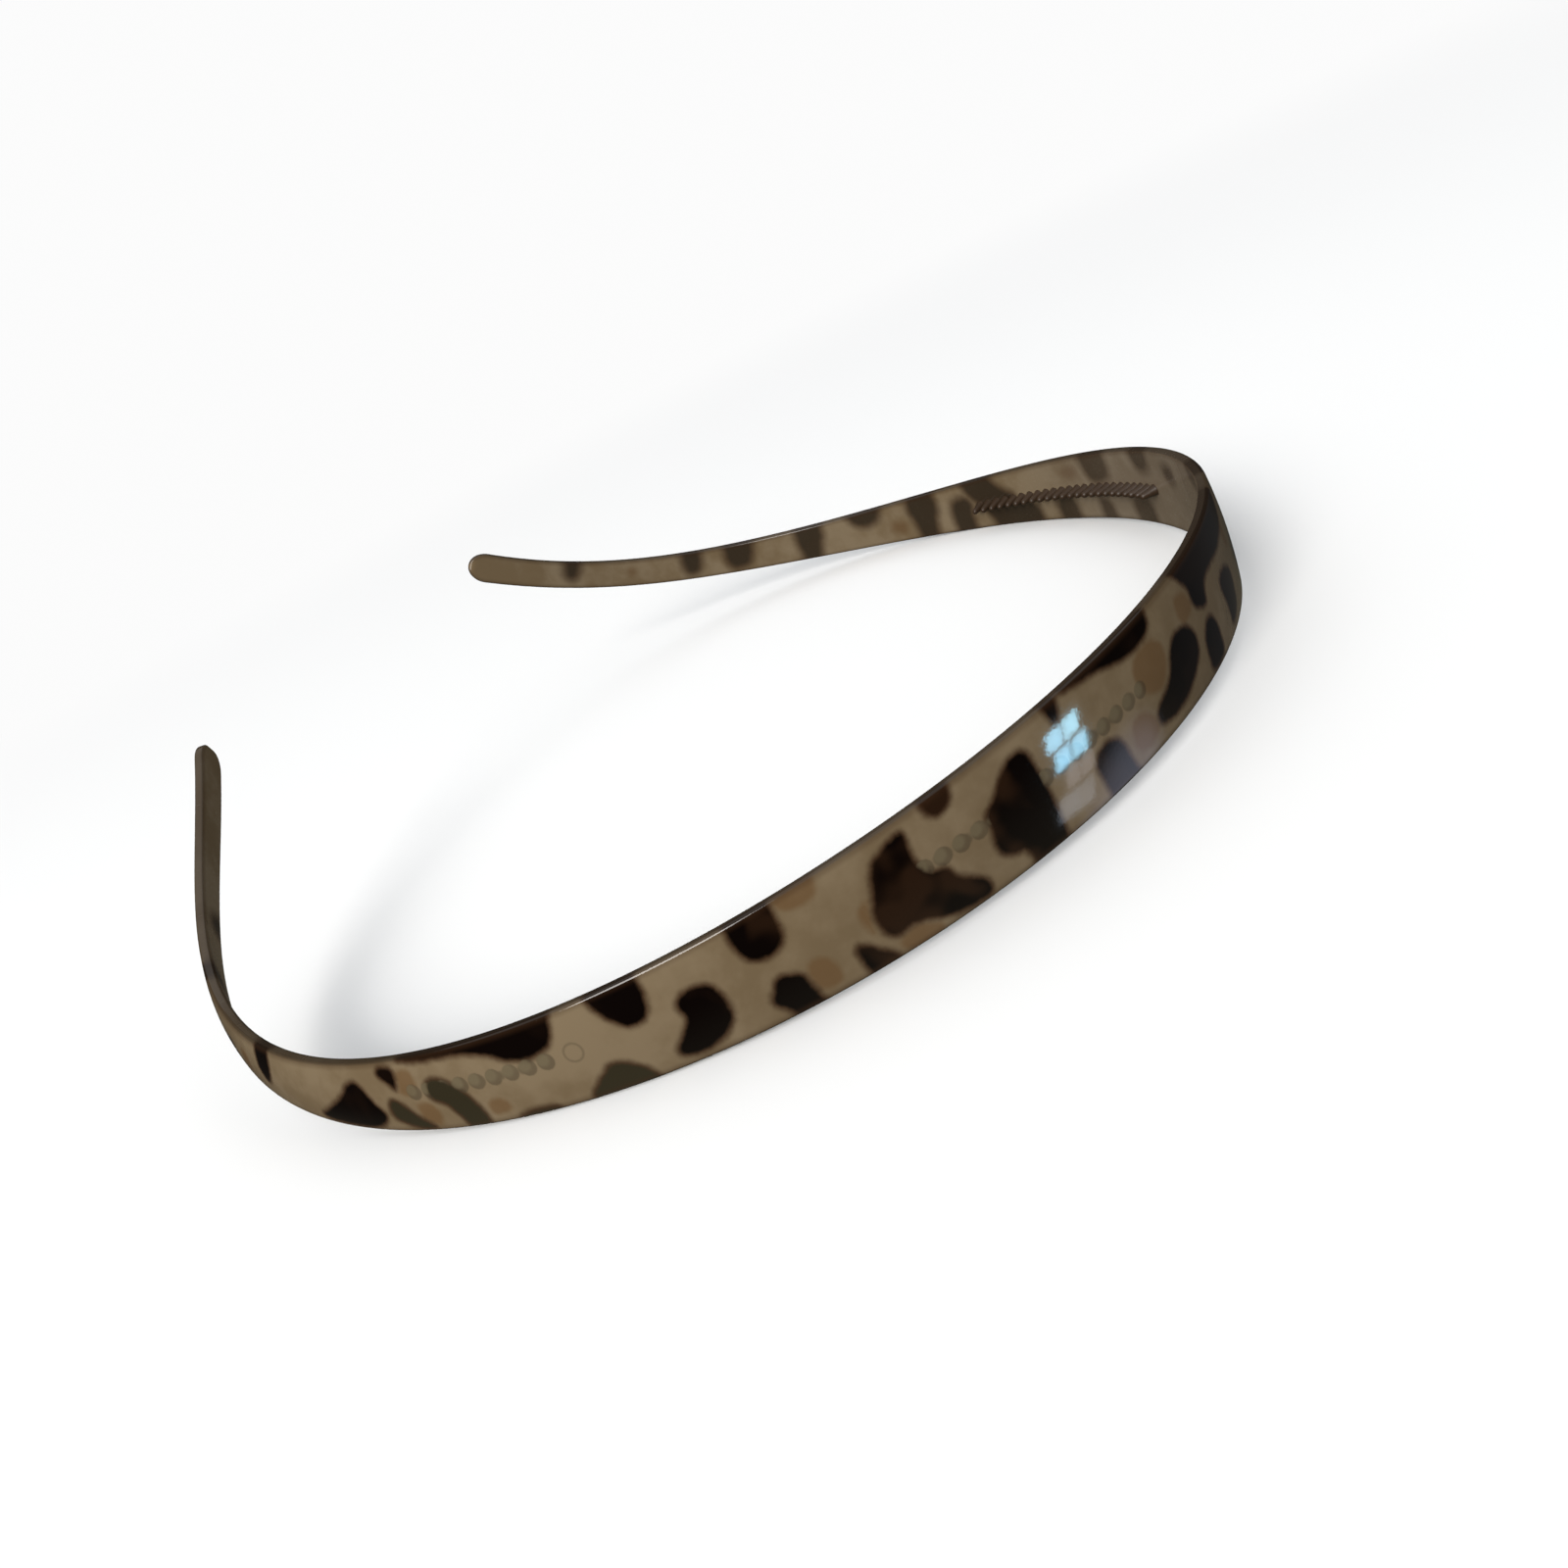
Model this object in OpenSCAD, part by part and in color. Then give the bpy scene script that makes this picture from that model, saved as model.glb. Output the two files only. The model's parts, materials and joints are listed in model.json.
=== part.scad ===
// Hoop headband: a springy, gently twisted plastic band with a blotched
// tortoiseshell face film and a short comb of moulded pegs on its inner face.
// Lying as on a table: +Z runs across the band's width, the crown of the hoop
// is at +X and the two free tips are at -X. All lengths are in millimetres.

/* [Hoop] */
// Length along the band from the middle of the crown to each tip
half_len = 190; // [175:1:205]
// Height by which the middle of each arm sags below the crown
arm_sag = 4; // [2:0.5:6]
// Height of each tip above the crown's middle line
tip_rise = 23; // [14:1:28]
// Outward lean of the faces at the crown, in degrees
crown_lean = -1; // [-4:1:4]
// Inward lean of the faces along the arms, in degrees
arm_lean = 12; // [4:1:16]

/* [Band] */
// Width of the band at the crown
crown_w = 13; // [11.5:0.5:15]
// Width of the band halfway along each arm
arm_w = 9; // [8:0.5:10.5]
// Width of the band just before each rounded tip
tip_w = 5.2; // [4.5:0.1:6.5]
// Whole thickness of the band, film included
band_t = 1.6; // [1.4:0.1:2.2]
// How far the outer face falls away at its long edges
face_crown = 0.3; // [0.1:0.05:0.4]

/* [Film] */
// Thickness of the blotched film moulded onto the outer face
film_t = 0.4; // [0.3:0.05:0.5]

/* [Comb pegs] */
// Distance between neighbouring pegs
peg_pitch = 2; // [1.9:0.1:2.6]
// Diameter of a peg where it meets the band
peg_d = 1.8; // [1.2:0.1:1.8]
// Height of a peg above the inner face
peg_h = 2.4; // [1.5:0.1:3]

/* [Hidden] */
// half length of the stretch of crown that flexes
flex_half = 10;
// turn of the band's heading, in radians, as powers 1, 3, 5, 7 of u = s / half_len
turn = [2.98, -2.93, 6.59, -4.02];
// distance between sections of a swept piece
station = 4.5;
// break on the long edges of the section
edge_break = 0.25;
// how deep a peg's foot runs into the band
peg_root = 0.15;
// ejector pin marks: place along each arm, diameter and depth
mark_s = 85;
mark_d = 1.9;
mark_depth = 0.15;
// bond line left between the film and the band
bond = 0.03;
// reach of a cutting prism either side of the film
cut_h = 2.5;
$fn = 20;

// ---- path of the hoop: s > 0 is the left arm, at -Y ----
deg_per_rad = 180 / PI;
function heading(s) = let (u = abs(s) / half_len)
    sign(s) * deg_per_rad * u * (turn[0] + u * u * (turn[1] + u * u * (turn[2] + u * u * turn[3])));
// plan position of the left arm's middle line at every millimetre
plan_arm = [for (
    i = 0, p = [0, 0];
    i <= half_len + 1;
    p = p - [sin(heading(i + 0.5)), cos(heading(i + 0.5))], i = i + 1) p];
function plan(s) = let (a = abs(s), i = floor(a), f = a - i, p = plan_arm[i] * (1 - f) + plan_arm[i + 1] * f)
    [p.x, s < 0 ? -p.y : p.y];
// height of the middle line, a sag along the arm and a rise at the tip
sag_2 = -(16 * arm_sag + tip_rise) / 3;
rise_4 = tip_rise - sag_2;
function height(s) = let (u = s / half_len) u * u * (sag_2 + u * u * rise_4);
function slope(s) = let (u = s / half_len) u * (2 * sag_2 + 4 * u * u * rise_4) / half_len;
function lean(s) = let (u = abs(s) / half_len) crown_lean - arm_lean * sin(min(u / 0.78, 1.3) * 90) ^ 2;
function unit(v) = v / norm(v);
function tangent(s) = unit([-sin(heading(s)), -cos(heading(s)), slope(s)]);
function flat_normal(s) =
    let (t = tangent(s), n = [cos(heading(s)), -sin(heading(s)), 0]) unit(n - t * (n * t));
function flat_up(s) = cross(tangent(s), flat_normal(s));
function outward(s) = flat_normal(s) * cos(lean(s)) - flat_up(s) * sin(lean(s));
function upward(s) = flat_up(s) * cos(lean(s)) + flat_normal(s) * sin(lean(s));
// the point d out from the middle line and v up the width
function at(s, d, v) = concat(plan(s), height(s)) + d * outward(s) + v * upward(s);

// ---- width, with a rounded end ----
w_a = (16 * (arm_w - crown_w) - (tip_w - crown_w)) / 3;
w_b = (tip_w - crown_w) - w_a;
function full_w(s) = let (u = abs(s) / half_len) crown_w + u * u * (w_a + u * u * w_b);
tip_r = tip_w / 2;
function width(s) =
    let (e = max(0, abs(s) - (half_len - tip_r)) / tip_r) full_w(s) * sqrt(max(0.04, 1 - e * e));

// ---- cross sections, as [out, up] corners ----
function face_d(v, w) = band_t / 2 - face_crown * (2 * v / w) ^ 2;
fifths = [-1, -0.5, 0, 0.5, 1];
function band_section(w) = let (h = w / 2, b = edge_break) [
    for (f = fifths) [face_d(f * h, w) - film_t, f * h],
    [b - band_t / 2, h], [-band_t / 2, h - b], [-band_t / 2, b - h], [b - band_t / 2, -h]];
function film_section(w) = let (h = w / 2, b = edge_break) [
    for (i = [4:-1:0]) [face_d(fifths[i] * h, w) - film_t + bond, fifths[i] * h],
    [face_d(h, w) - b, -h], [face_d(h - b, w), b - h],
    for (f = [-0.5, 0, 0.5]) [face_d(f * h, w), f * h],
    [face_d(h - b, w), h - b], [face_d(h, w) - b, h]];

// places along one arm where a section is drawn, closer together round the tip
arm_places = let (n = ceil((half_len - tip_r - flex_half) / station)) [
    for (i = [0:n]) flex_half + (half_len - tip_r - flex_half) * i / n,
    for (a = [25:25:75]) half_len - tip_r + tip_r * sin(a)];
crown_places = [for (i = [0:7]) flex_half * (2 * i / 7 - 1)];

module swept(rings) {
    m = len(rings[0]);
    n = len(rings);
    polyhedron(
        [for (r = rings) each r],
        [[for (j = [0:m - 1]) j], [for (j = [m - 1:-1:0]) (n - 1) * m + j],
         for (i = [0:n - 2], j = [0:m - 1]) let (a = i * m + j, b = i * m + (j + 1) % m)
             each [[b, a, a + m], [b, a + m, b + m]]]);
}
function band_rings(places) = [for (s = places) [for (q = band_section(width(s))) at(s, q[0], q[1])]];
// first: the corner of the section that each ring starts from
function film_rings(places, first = 0) = [
    for (s = places) let (f = film_section(width(s)), n = len(f))
        [for (i = [first:first + n - 1]) at(s, f[i % n][0], f[i % n][1])]];

// the part's origin: middle of its bounding box, on the floor
rim = [for (s = concat(crown_places, arm_places)) each band_rings([s])[0],
       for (s = concat(crown_places, arm_places)) each film_rings([s])[0]];
shift = -[(max([for (p = rim) p.x]) + min([for (p = rim) p.x])) / 2, 0, min([for (p = rim) p.z])];

// ---- blotches: outlines as [along the arm, up the width] corners ----
left_dark = [
    [[109, -2], [111, -3.6], [115, -3.5], [120.5, -2.9], [118, -1.6], [115, 0], [113, 1.9],
     [111.5, 1.9], [110.3, -0.5]],
    [[105.8, 3.2], [107.5, 3.5], [108.3, 2.7], [107, 1.7], [106.4, 0.8], [105.8, 2]],
    [[103.3, -3.8], [105, -3.9], [107, -3], [108.4, -2.2], [107.8, -0.1], [106.5, -0.5], [104.8, -2.6]],
    [[97, -4.6], [99.3, -4.6], [99.8, -2.7], [100.5, -1.2], [102.3, -0.5], [102.3, 1], [101.3, 1.7],
     [99.5, 1.2],
     [98, -0.5], [97, -2.5]],
    [[85.2, 5.5], [86.5, 2.2], [87.8, 1.6], [90, 1.3], [92, 1.9], [94, 3], [97, 3.7], [105, 3.6], [105, 5.5]],
    [[76.1, 5.6], [76.3, 2], [77.5, 0.7], [79.3, 1], [80.5, 2.6], [81.6, 4.5], [81.4, 5.6]],
    [[74.1, 1], [73, 1.7], [71.3, 1.8], [70.2, 1], [69.8, -0.7], [70.1, -2.5], [71.5, -3.8],
     [74, -4.4], [76, -4],
     [76.1, -3.1], [74.8, -1.9], [73.7, -0.7]],
    [[78.3, -5.5], [79.5, -3.5], [80.8, -2.4], [82.3, -1.7], [84, -3], [85.5, -4.1], [85.5, -5.5]],
    [[93.5, -3.9], [89, -4.1], [89, -5.5], [94, -5.5]],
    [[62.4, 6], [62.4, 2.5], [63.3, 1.4], [64.8, 1], [66.3, 1.7], [66.9, 3], [66.9, 6]],
    [[62, -6], [62.8, -3.2], [63, -1.8], [65, -1], [65.9, -2.2], [66.5, -3.2], [65.5, -4.5], [64.5, -6]],
    [[54.6, -6.5], [54.8, -5], [55.8, -4.1], [56.8, -2.7], [57.8, -2.2], [57.8, -4], [57.4, -6.5]],
    [[53.1, 3.5], [51, 4.4], [49.3, 4.8], [49.1, 4], [49.6, 1.8], [48.8, -0.2], [47.2, -0.5], [46.9, -1.9],
     [45.8, -2.8], [44.4, -4], [44.5, -5.6], [47, -5.4], [49.5, -4.7], [52, -3.2], [53.8, -3.7], [54.8, -3],
     [55, -0.7], [54.2, 0.8]],
    [[39.5, 3], [37.5, 4.3], [35.8, 4.3], [35.4, 2.3], [35.3, -3.7], [35.5, -7], [39.5, -7], [39.5, -4],
     [41.3, -3.6], [42.5, -2.4], [41.8, 0], [41.9, 1.3], [40.5, 2]],
    [[43.5, 7], [43.6, 5.3], [44.5, 4.1], [45.8, 4], [46.6, 4.8], [46.6, 7]],
    [[30.4, 7], [30.6, 5.3], [31.3, 4.2], [31.9, 4.6], [32.4, 7]],
    [[23.8, -7], [25.3, -4.9], [25.6, -2.7], [26.2, -1.4], [27.5, -0.9], [29, -1.4], [29.6, -2.4],
     [29.3, -4.4],
     [28.8, -7]],
    [[16, 7], [16.2, 5], [17.5, 4.2], [20, 4.1], [22.5, 4.5], [25, 5.4], [30, 6], [30, 7]],
    [[15.3, 0.2], [14.5, 1.1], [13, 1.8], [11, 1.4], [10.2, 0.3], [10.2, -2], [11.5, -3.4],
     [14, -4.5], [17, -4.9],
     [19.8, -4.4], [20, -2.9], [17.5, -1.9], [16, -1.1]],
    [[128, 3.8], [131, 3.8], [131.5, 0.5], [130, -1.5], [128.5, 0.5]],
    [[138, -3.6], [138.5, -1], [140.5, 0.6], [142.5, -1], [143, -3.6]],
    [[150, 3.2], [153.5, 3.2], [153, -0.5], [151, -1]],
    [[162, -3], [162.5, 0.5], [165, -0.5], [165.5, -3]]];
left_tan = [
    [[106.2, 0.6], [105.8, 0.8], [105.6, 3.1], [103.5, 3.2], [103, 1.5], [104.5, -0.3]],
    [[104.6, -0.6], [102.5, -0.7], [101.8, -2], [102.5, -3.7], [103.2, -3.7], [104.6, -2.6]],
    [[96.3, -1.9], [95, -1.5], [93.8, -2], [93.8, -3.5], [96.3, -3.6]],
    [[57.4, 6], [58, 4], [59.5, 3.5], [61.5, 4], [62.2, 5], [62.2, 6]],
    [[59.7, -4.6], [59.8, -2], [61, -1.1], [62.3, -1.3], [62.6, -3.2], [61.9, -4.8]],
    [[55.2, -0.7], [54.6, 1.3], [56, 0.8], [56.4, -1], [55.6, -2.6]],
    [[54.4, -5], [54, -3.9], [52, -3.5], [49.6, -5], [50, -6], [53, -6]],
    [[21.5, 2], [20, 3.8], [17, 3.8], [15.5, 2.4], [15.6, 0.4], [17.6, -1.6], [20.2, -1]],
    [[24, -1.4], [22, -1.2], [20.2, -2.8], [20, -4.5], [22, -5.4], [24.5, -4.6]],
    [[134, -1.8], [136.5, -1.8], [136.5, 1.2], [134.5, 1]]];
crown_dark = [
    [[-7, 7], [-5, 5], [-3, 4.2], [0, 3.8], [3, 3.5], [4.3, 2], [4.5, 0.6], [5.6, 0.6], [7, 1.2], [7.8, 2.2],
     [7.5, 4], [9, 5.6], [9.8, 7]],
    [[7.8, -2.1], [6.5, -0.9], [5, -0.8], [3.9, -2.1], [3.7, -4], [3.8, -5.7], [6, -6.1], [7.8, -5.7],
     [8, -4]],
    [[-0.4, -0.2], [-2, 0.6], [-4.5, 0.2], [-6.5, -0.9], [-6, -3.4], [-5, -4.9], [-1.2, -5.5], [-1.4, -3.4]]];
crown_tan = [
    [[9.8, 1.6], [9.8, 4.6], [8.2, 4], [8, 2.2], [8.6, 1.4]],
    [[-9.8, 3], [-8.5, 4], [-8, 1], [-9.8, 0]]];
right_dark = [
    [[12, -1], [15, 0.5], [18, -0.6], [18.5, -3.5], [14, -4.6]],
    [[20, 7], [20.5, 4.6], [23.5, 3.2], [27, 4], [28, 7]],
    [[27, -7], [28, -3.5], [31, -2.2], [33.5, -4], [34, -7]],
    [[36.6, 4], [38.5, 4.3], [40.3, 3.4], [39.6, 1.8], [37, 2]],
    [[44.8, 7], [45, 4], [47.2, 2.6], [49.6, 3.4], [50, 7]],
    [[49.3, -1.8], [53, -1.6], [55, -2.4], [54.8, -6.5], [49.8, -6.5]],
    [[57.6, 6], [58, 2.4], [60, 1], [64, 1], [64.5, 6]],
    [[61, -6], [61.4, -2.2], [64, -1.8], [64.8, -6]],
    [[70.2, -0.7], [74.6, -0.7], [75.2, -5.5], [70.8, -5.5]],
    [[79.5, -1.5], [83, -1.2], [85, -5.2], [80, -5.2]],
    [[88.5, 5], [94.4, 5], [93.3, 1.5], [91.2, -0.3], [90, -5], [85.2, -5], [84.8, -1], [83.4, 0.8], [86, 2]],
    [[94.4, 2], [97.4, 1.8], [98.8, -0.5], [99.4, -5], [95.6, -5], [95, -1.5], [93.9, 0.3]],
    [[101.3, 4.6], [106.2, 4.6], [107.6, 1.8], [107, -0.5], [107.3, -4.4], [104.4, -4.4], [103, -1],
     [101.2, 1.5]],
    [[112.8, 4.4], [121, 4.4], [119.5, 1.7], [117, 0.9], [114, 2]],
    [[126.2, 4], [131.6, 4], [131.6, 0.5], [131, -4], [128.8, -4], [127.4, -0.5], [126.5, 1.5]],
    [[140.2, 4], [146, 4], [146, 0.5], [145, -1.8], [142, -1.6], [141, 0.5]],
    [[150.9, 3.6], [154.1, 3.6], [154.2, 1], [153.4, -1.5], [151.5, -1.3], [150.8, 1]],
    [[172.7, 3.2], [175.4, 3.2], [175.2, 0.2], [174, -0.9], [173, 0.4]]];
right_tan = [
    [[66, 4], [69, 4.4], [71, 3], [69, 1.6], [66.4, 2]],
    [[108.5, 0], [112, 1], [113, -1.6], [110, -3]],
    [[162.4, 0.4], [163.4, 1.7], [164.8, 0.6], [164, -0.7], [162.8, -0.5]]];

function middle(outline) = (max([for (q = outline) q[0]]) + min([for (q = outline) q[0]])) / 2;
// upright prisms on the left arm's or crown's film, one for each outline
module prisms(outlines) {
    for (o = outlines) {
        c = middle(o);
        t = tangent(c);
        u = upward(c);
        n = outward(c);
        p = at(c, band_t / 2, 0);
        multmatrix([[-t.x, u.x, n.x, p.x], [-t.y, u.y, n.y, p.y], [-t.z, u.z, n.z, p.z]])
            linear_extrude(2 * cut_h, center = true)
                polygon([for (q = o) [c - q[0], q[1]]]);
    }
}
module inlay(places, outlines) {
    intersection() {
        swept(film_rings(places));
        prisms(outlines);
    }
}
module film(places, outlines, first = 0) {
    difference() {
        swept(film_rings(places, first));
        prisms(outlines);
    }
}

// a moulded peg standing on the inner face, its tip rounded
module peg(s) {
    n = outward(s);
    top = 0.55 * peg_d / 2;
    translate(at(s, peg_root - band_t / 2, 0))
        rotate([0, acos(-n.z), atan2(-n.y, -n.x)]) {
            cylinder(h = peg_root + peg_h - top, d1 = peg_d, r2 = top);
            translate([0, 0, peg_root + peg_h - top]) sphere(r = top);
        }
}
module pegs(first, last) {
    for (i = [0:floor((last - first) / peg_pitch)]) peg(first + i * peg_pitch);
}
// one arm's clear moulding, with the round mark its ejector pin left
module arm_band() {
    n = outward(mark_s);
    difference() {
        swept(band_rings(arm_places));
        translate(at(mark_s, -band_t / 2 - 1, 0))
            rotate([0, acos(n.z), atan2(n.y, n.x)]) cylinder(h = 1 + mark_depth, d = mark_d);
    }
}
module left() translate(shift) children();
module right() translate(shift) mirror([0, 1, 0]) children();

// ---- the pieces ----
module left_band() color([0.80, 0.74, 0.63]) left() arm_band();
module right_band() color([0.80, 0.74, 0.63]) right() arm_band();
module crown_band() color([0.80, 0.74, 0.63]) left() swept(band_rings(crown_places));
module left_film() color([0.74, 0.66, 0.52]) left() film(arm_places, concat(left_dark, left_tan));
module right_film() color([0.74, 0.66, 0.52]) right() film(arm_places, concat(right_dark, right_tan));
module crown_film() color([0.74, 0.66, 0.52]) left() film(crown_places, concat(crown_dark, crown_tan), 3);
module left_blotches() color([0.10, 0.05, 0.04]) left() inlay(arm_places, left_dark);
module right_blotches() color([0.10, 0.05, 0.04]) right() inlay(arm_places, right_dark);
module crown_blotches() color([0.10, 0.05, 0.04]) left() inlay(crown_places, crown_dark);
module left_amber() color([0.62, 0.44, 0.26]) left() inlay(arm_places, left_tan);
module right_amber() color([0.62, 0.44, 0.26]) right() inlay(arm_places, right_tan);
module crown_amber() color([0.62, 0.44, 0.26]) left() inlay(crown_places, crown_tan);
module left_comb() color([0.80, 0.74, 0.63]) left() { pegs(21, 49); pegs(88, 104); }
module right_comb() color([0.80, 0.74, 0.63]) right() pegs(46, 92);

left_band();
crown_band();
right_band();
left_film();
crown_film();
right_film();
left_blotches();
crown_blotches();
right_blotches();
left_amber();
crown_amber();
right_amber();
left_comb();
right_comb();
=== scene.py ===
"""Looks of a springy tortoiseshell hoop headband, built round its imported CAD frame.

The clear moulding and the blotched film on its outer face are two sweeps along the hoop's
twisted path, both made by one Geometry Nodes tree; the comb pegs are instances of one turned peg.
Every length in the code is in metres unless its name ends in _mm.
"""

import json
import logging
import math
from dataclasses import dataclass
from enum import Enum

import bmesh
import bpy
import numpy as np
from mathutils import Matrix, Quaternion, Vector


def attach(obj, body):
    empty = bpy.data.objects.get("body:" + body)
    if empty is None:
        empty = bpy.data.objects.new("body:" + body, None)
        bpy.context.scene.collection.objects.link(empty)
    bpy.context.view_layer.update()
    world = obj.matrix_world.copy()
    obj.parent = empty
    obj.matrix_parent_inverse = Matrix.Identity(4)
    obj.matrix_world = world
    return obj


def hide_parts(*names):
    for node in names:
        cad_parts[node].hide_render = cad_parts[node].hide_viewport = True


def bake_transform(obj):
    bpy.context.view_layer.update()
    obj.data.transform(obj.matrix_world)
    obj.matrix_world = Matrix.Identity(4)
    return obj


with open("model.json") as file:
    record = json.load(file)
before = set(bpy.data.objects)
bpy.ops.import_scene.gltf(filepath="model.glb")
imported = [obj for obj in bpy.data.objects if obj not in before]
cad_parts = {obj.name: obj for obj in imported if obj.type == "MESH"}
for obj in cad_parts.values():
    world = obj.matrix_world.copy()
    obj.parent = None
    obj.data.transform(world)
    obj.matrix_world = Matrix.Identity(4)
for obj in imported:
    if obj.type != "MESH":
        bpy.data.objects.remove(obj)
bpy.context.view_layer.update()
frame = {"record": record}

log = logging.getLogger("headband")
MM = 0.001
FAR_MM = 9.0
QUARTER = math.pi / 2
PAPER_WHITE = (0.97, 0.97, 0.97, 1)
HAZE_MM = (84.0, 56.0)
THIN_MM = (22.0, 38.0, 55.0, 80.0)
BLOOM_GAIN = 1.7
AMBER_SHARE = 0.72
Socket = bpy.types.NodeSocket
NodeTree = bpy.types.NodeTree
Outline = list[tuple[float, float]]
Colour = tuple[float, float, float, float]


class Part(Enum):
    """The two swept layers of the band."""

    MOULDING = "moulding"
    FILM = "film"


class Side(Enum):
    """The two arms of the hoop, with the sign of their place along the path."""

    LEFT = 1
    RIGHT = -1


class Zone(Enum):
    """The three lengths that each layer is made in: two stiff arms, and the crown, where the real band bends.
    """

    LEFT = "left"
    CROWN = "crown"
    RIGHT = "right"


# Blotch outlines in millimetres: (along the arm from the crown, up the band's width).
LEFT_DARK: list[Outline] = [
    [(109, -2), (111, -3.6), (115, -3.5), (120.5, -2.9), (118, -1.6), (115, 0), (113, 1.9), (111.5, 1.9),
     (110.3, -0.5)],
    [(105.8, 3.2), (107.5, 3.5), (108.3, 2.7), (107, 1.7), (106.4, 0.8), (105.8, 2)],
    [(103.3, -3.8), (105, -3.9), (107, -3), (108.4, -2.2), (107.8, -0.1), (106.5, -0.5), (104.8, -2.6)],
    [(97, -4.6), (99.3, -4.6), (99.8, -2.7), (100.5, -1.2), (102.3, -0.5), (102.3, 1), (101.3, 1.7),
     (99.5, 1.2), (98, -0.5), (97, -2.5)],
    [(85.2, 6), (86.5, 2.2), (87.8, 1.6), (90, 1.3), (92, 1.9), (94, 3), (97, 3.7), (105, 3.6), (105, 6)],
    [(76.1, 6), (76.3, 2), (77.5, 0.7), (79.3, 1), (80.5, 2.6), (81.6, 4.5), (81.4, 6)],
    [(74.1, 1), (73, 1.7), (71.3, 1.8), (70.2, 1), (69.8, -0.7), (70.1, -2.5), (71.5, -3.8), (74, -4.4),
     (76, -4), (76.1, -3.1), (74.8, -1.9), (73.7, -0.7)],
    [(78.3, -6), (79.5, -3.5), (80.8, -2.4), (82.3, -1.7), (84, -3), (85.5, -4.1), (85.5, -6)],
    [(93.5, -3.9), (89, -4.1), (89, -6), (94, -6)],
    [(62.4, 7), (62.4, 2.5), (63.3, 1.4), (64.8, 1), (66.3, 1.7), (66.9, 3), (66.9, 7)],
    [(62, -7), (62.8, -3.2), (63, -1.8), (65, -1), (65.9, -2.2), (66.5, -3.2), (65.5, -4.5), (64.5, -7)],
    [(54.6, -7), (54.8, -5), (55.8, -4.1), (56.8, -2.7), (57.8, -2.2), (57.8, -4), (57.4, -7)],
    [(53.1, 3.5), (51, 4.4), (49.3, 4.8), (49.1, 4), (49.6, 1.8), (48.8, -0.2), (47.2, -0.5), (46.9, -1.9),
     (45.8, -2.8), (44.4, -4), (44.5, -5.6), (47, -5.4), (49.5, -4.7), (52, -3.2), (53.8, -3.7), (54.8, -3),
     (55, -0.7), (54.2, 0.8)],
    [(39.5, 3), (37.5, 4.3), (35.8, 4.3), (35.4, 2.3), (35.3, -3.7), (35.5, -8), (39.5, -8), (39.5, -4),
     (41.3, -3.6), (42.5, -2.4), (41.8, 0), (41.9, 1.3), (40.5, 2)],
    [(43.5, 8), (43.6, 5.3), (44.5, 4.1), (45.8, 4), (46.6, 4.8), (46.6, 8)],
    [(30.4, 8), (30.6, 5.3), (31.3, 4.2), (31.9, 4.6), (32.4, 8)],
    [(23.8, -8), (25.3, -4.9), (25.6, -2.7), (26.2, -1.4), (27.5, -0.9), (29, -1.4), (29.6, -2.4),
     (29.3, -4.4), (28.8, -8)],
    [(16, 8), (16.2, 5), (17.5, 4.2), (20, 4.1), (22.5, 4.5), (25, 5.4), (30, 6), (30, 8)],
    [(15.3, 0.2), (14.5, 1.1), (13, 1.8), (11, 1.4), (9.8, 0.3), (9.4, -1.1), (10, -2.4), (11.5, -3.4),
     (14, -4.5), (17, -4.9), (19.8, -4.4), (20, -2.9), (17.5, -1.9), (16, -1.1)],
    [(128, 5), (131, 5), (131.5, 0.5), (130, -1.5), (128.5, 0.5)],
    [(138, -5), (138.5, -1), (140.5, 0.6), (142.5, -1), (143, -5)],
    [(150, 5), (153.5, 5), (153, -0.5), (151, -1)],
    [(162, -5), (162.5, 0.5), (165, -0.5), (165.5, -5)],
]
LEFT_AMBER: list[Outline] = [
    [(106.2, 0.6), (105.8, 0.8), (105.6, 3.1), (103.5, 3.2), (103, 1.5), (104.5, -0.3)],
    [(104.6, -0.6), (102.5, -0.7), (101.8, -2), (102.5, -3.7), (103.2, -3.7), (104.6, -2.6)],
    [(96.3, -1.9), (95, -1.5), (93.8, -2), (93.8, -3.5), (96.3, -3.6)],
    [(57.4, 7), (58, 4), (59.5, 3.5), (61.5, 4), (62.2, 5), (62.2, 7)],
    [(59.7, -4.6), (59.8, -2), (61, -1.1), (62.3, -1.3), (62.6, -3.2), (61.9, -4.8)],
    [(55.2, -0.7), (54.6, 1.3), (56, 0.8), (56.4, -1), (55.6, -2.6)],
    [(54.4, -5), (54, -3.9), (52, -3.5), (49.6, -5), (50, -6), (53, -6)],
    [(21.5, 2), (20, 3.8), (17, 3.8), (15.5, 2.4), (15.6, 0.4), (17.6, -1.6), (20.2, -1)],
    [(24, -1.4), (22, -1.2), (20.2, -2.8), (20, -4.5), (22, -5.4), (24.5, -4.6)],
    [(134, -1.8), (136.5, -1.8), (136.5, 1.2), (134.5, 1)],
]
CROWN_DARK: list[Outline] = [
    [(-14, 8), (-12.5, 4.4), (-9, 3), (-4, 2.6), (0, 2.8), (3, 2.7), (4.3, 1.8), (4.5, 0.6), (5.6, 0.6),
     (7, 1.2), (7.8, 2.2), (7.5, 4), (9, 5.6), (10.5, 8)],
    [(7.8, -2.1), (6.5, -0.9), (5, -0.8), (3.9, -2.1), (3.7, -4), (3.8, -5.7), (6, -6.1), (7.8, -5.7),
     (8, -4)],
    [(-0.4, -0.2), (-2, 0.6), (-4.5, 0.2), (-6.5, -0.9), (-6, -3.4), (-5, -4.9), (-1.2, -5.5), (-1.4, -3.4)],
]
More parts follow.
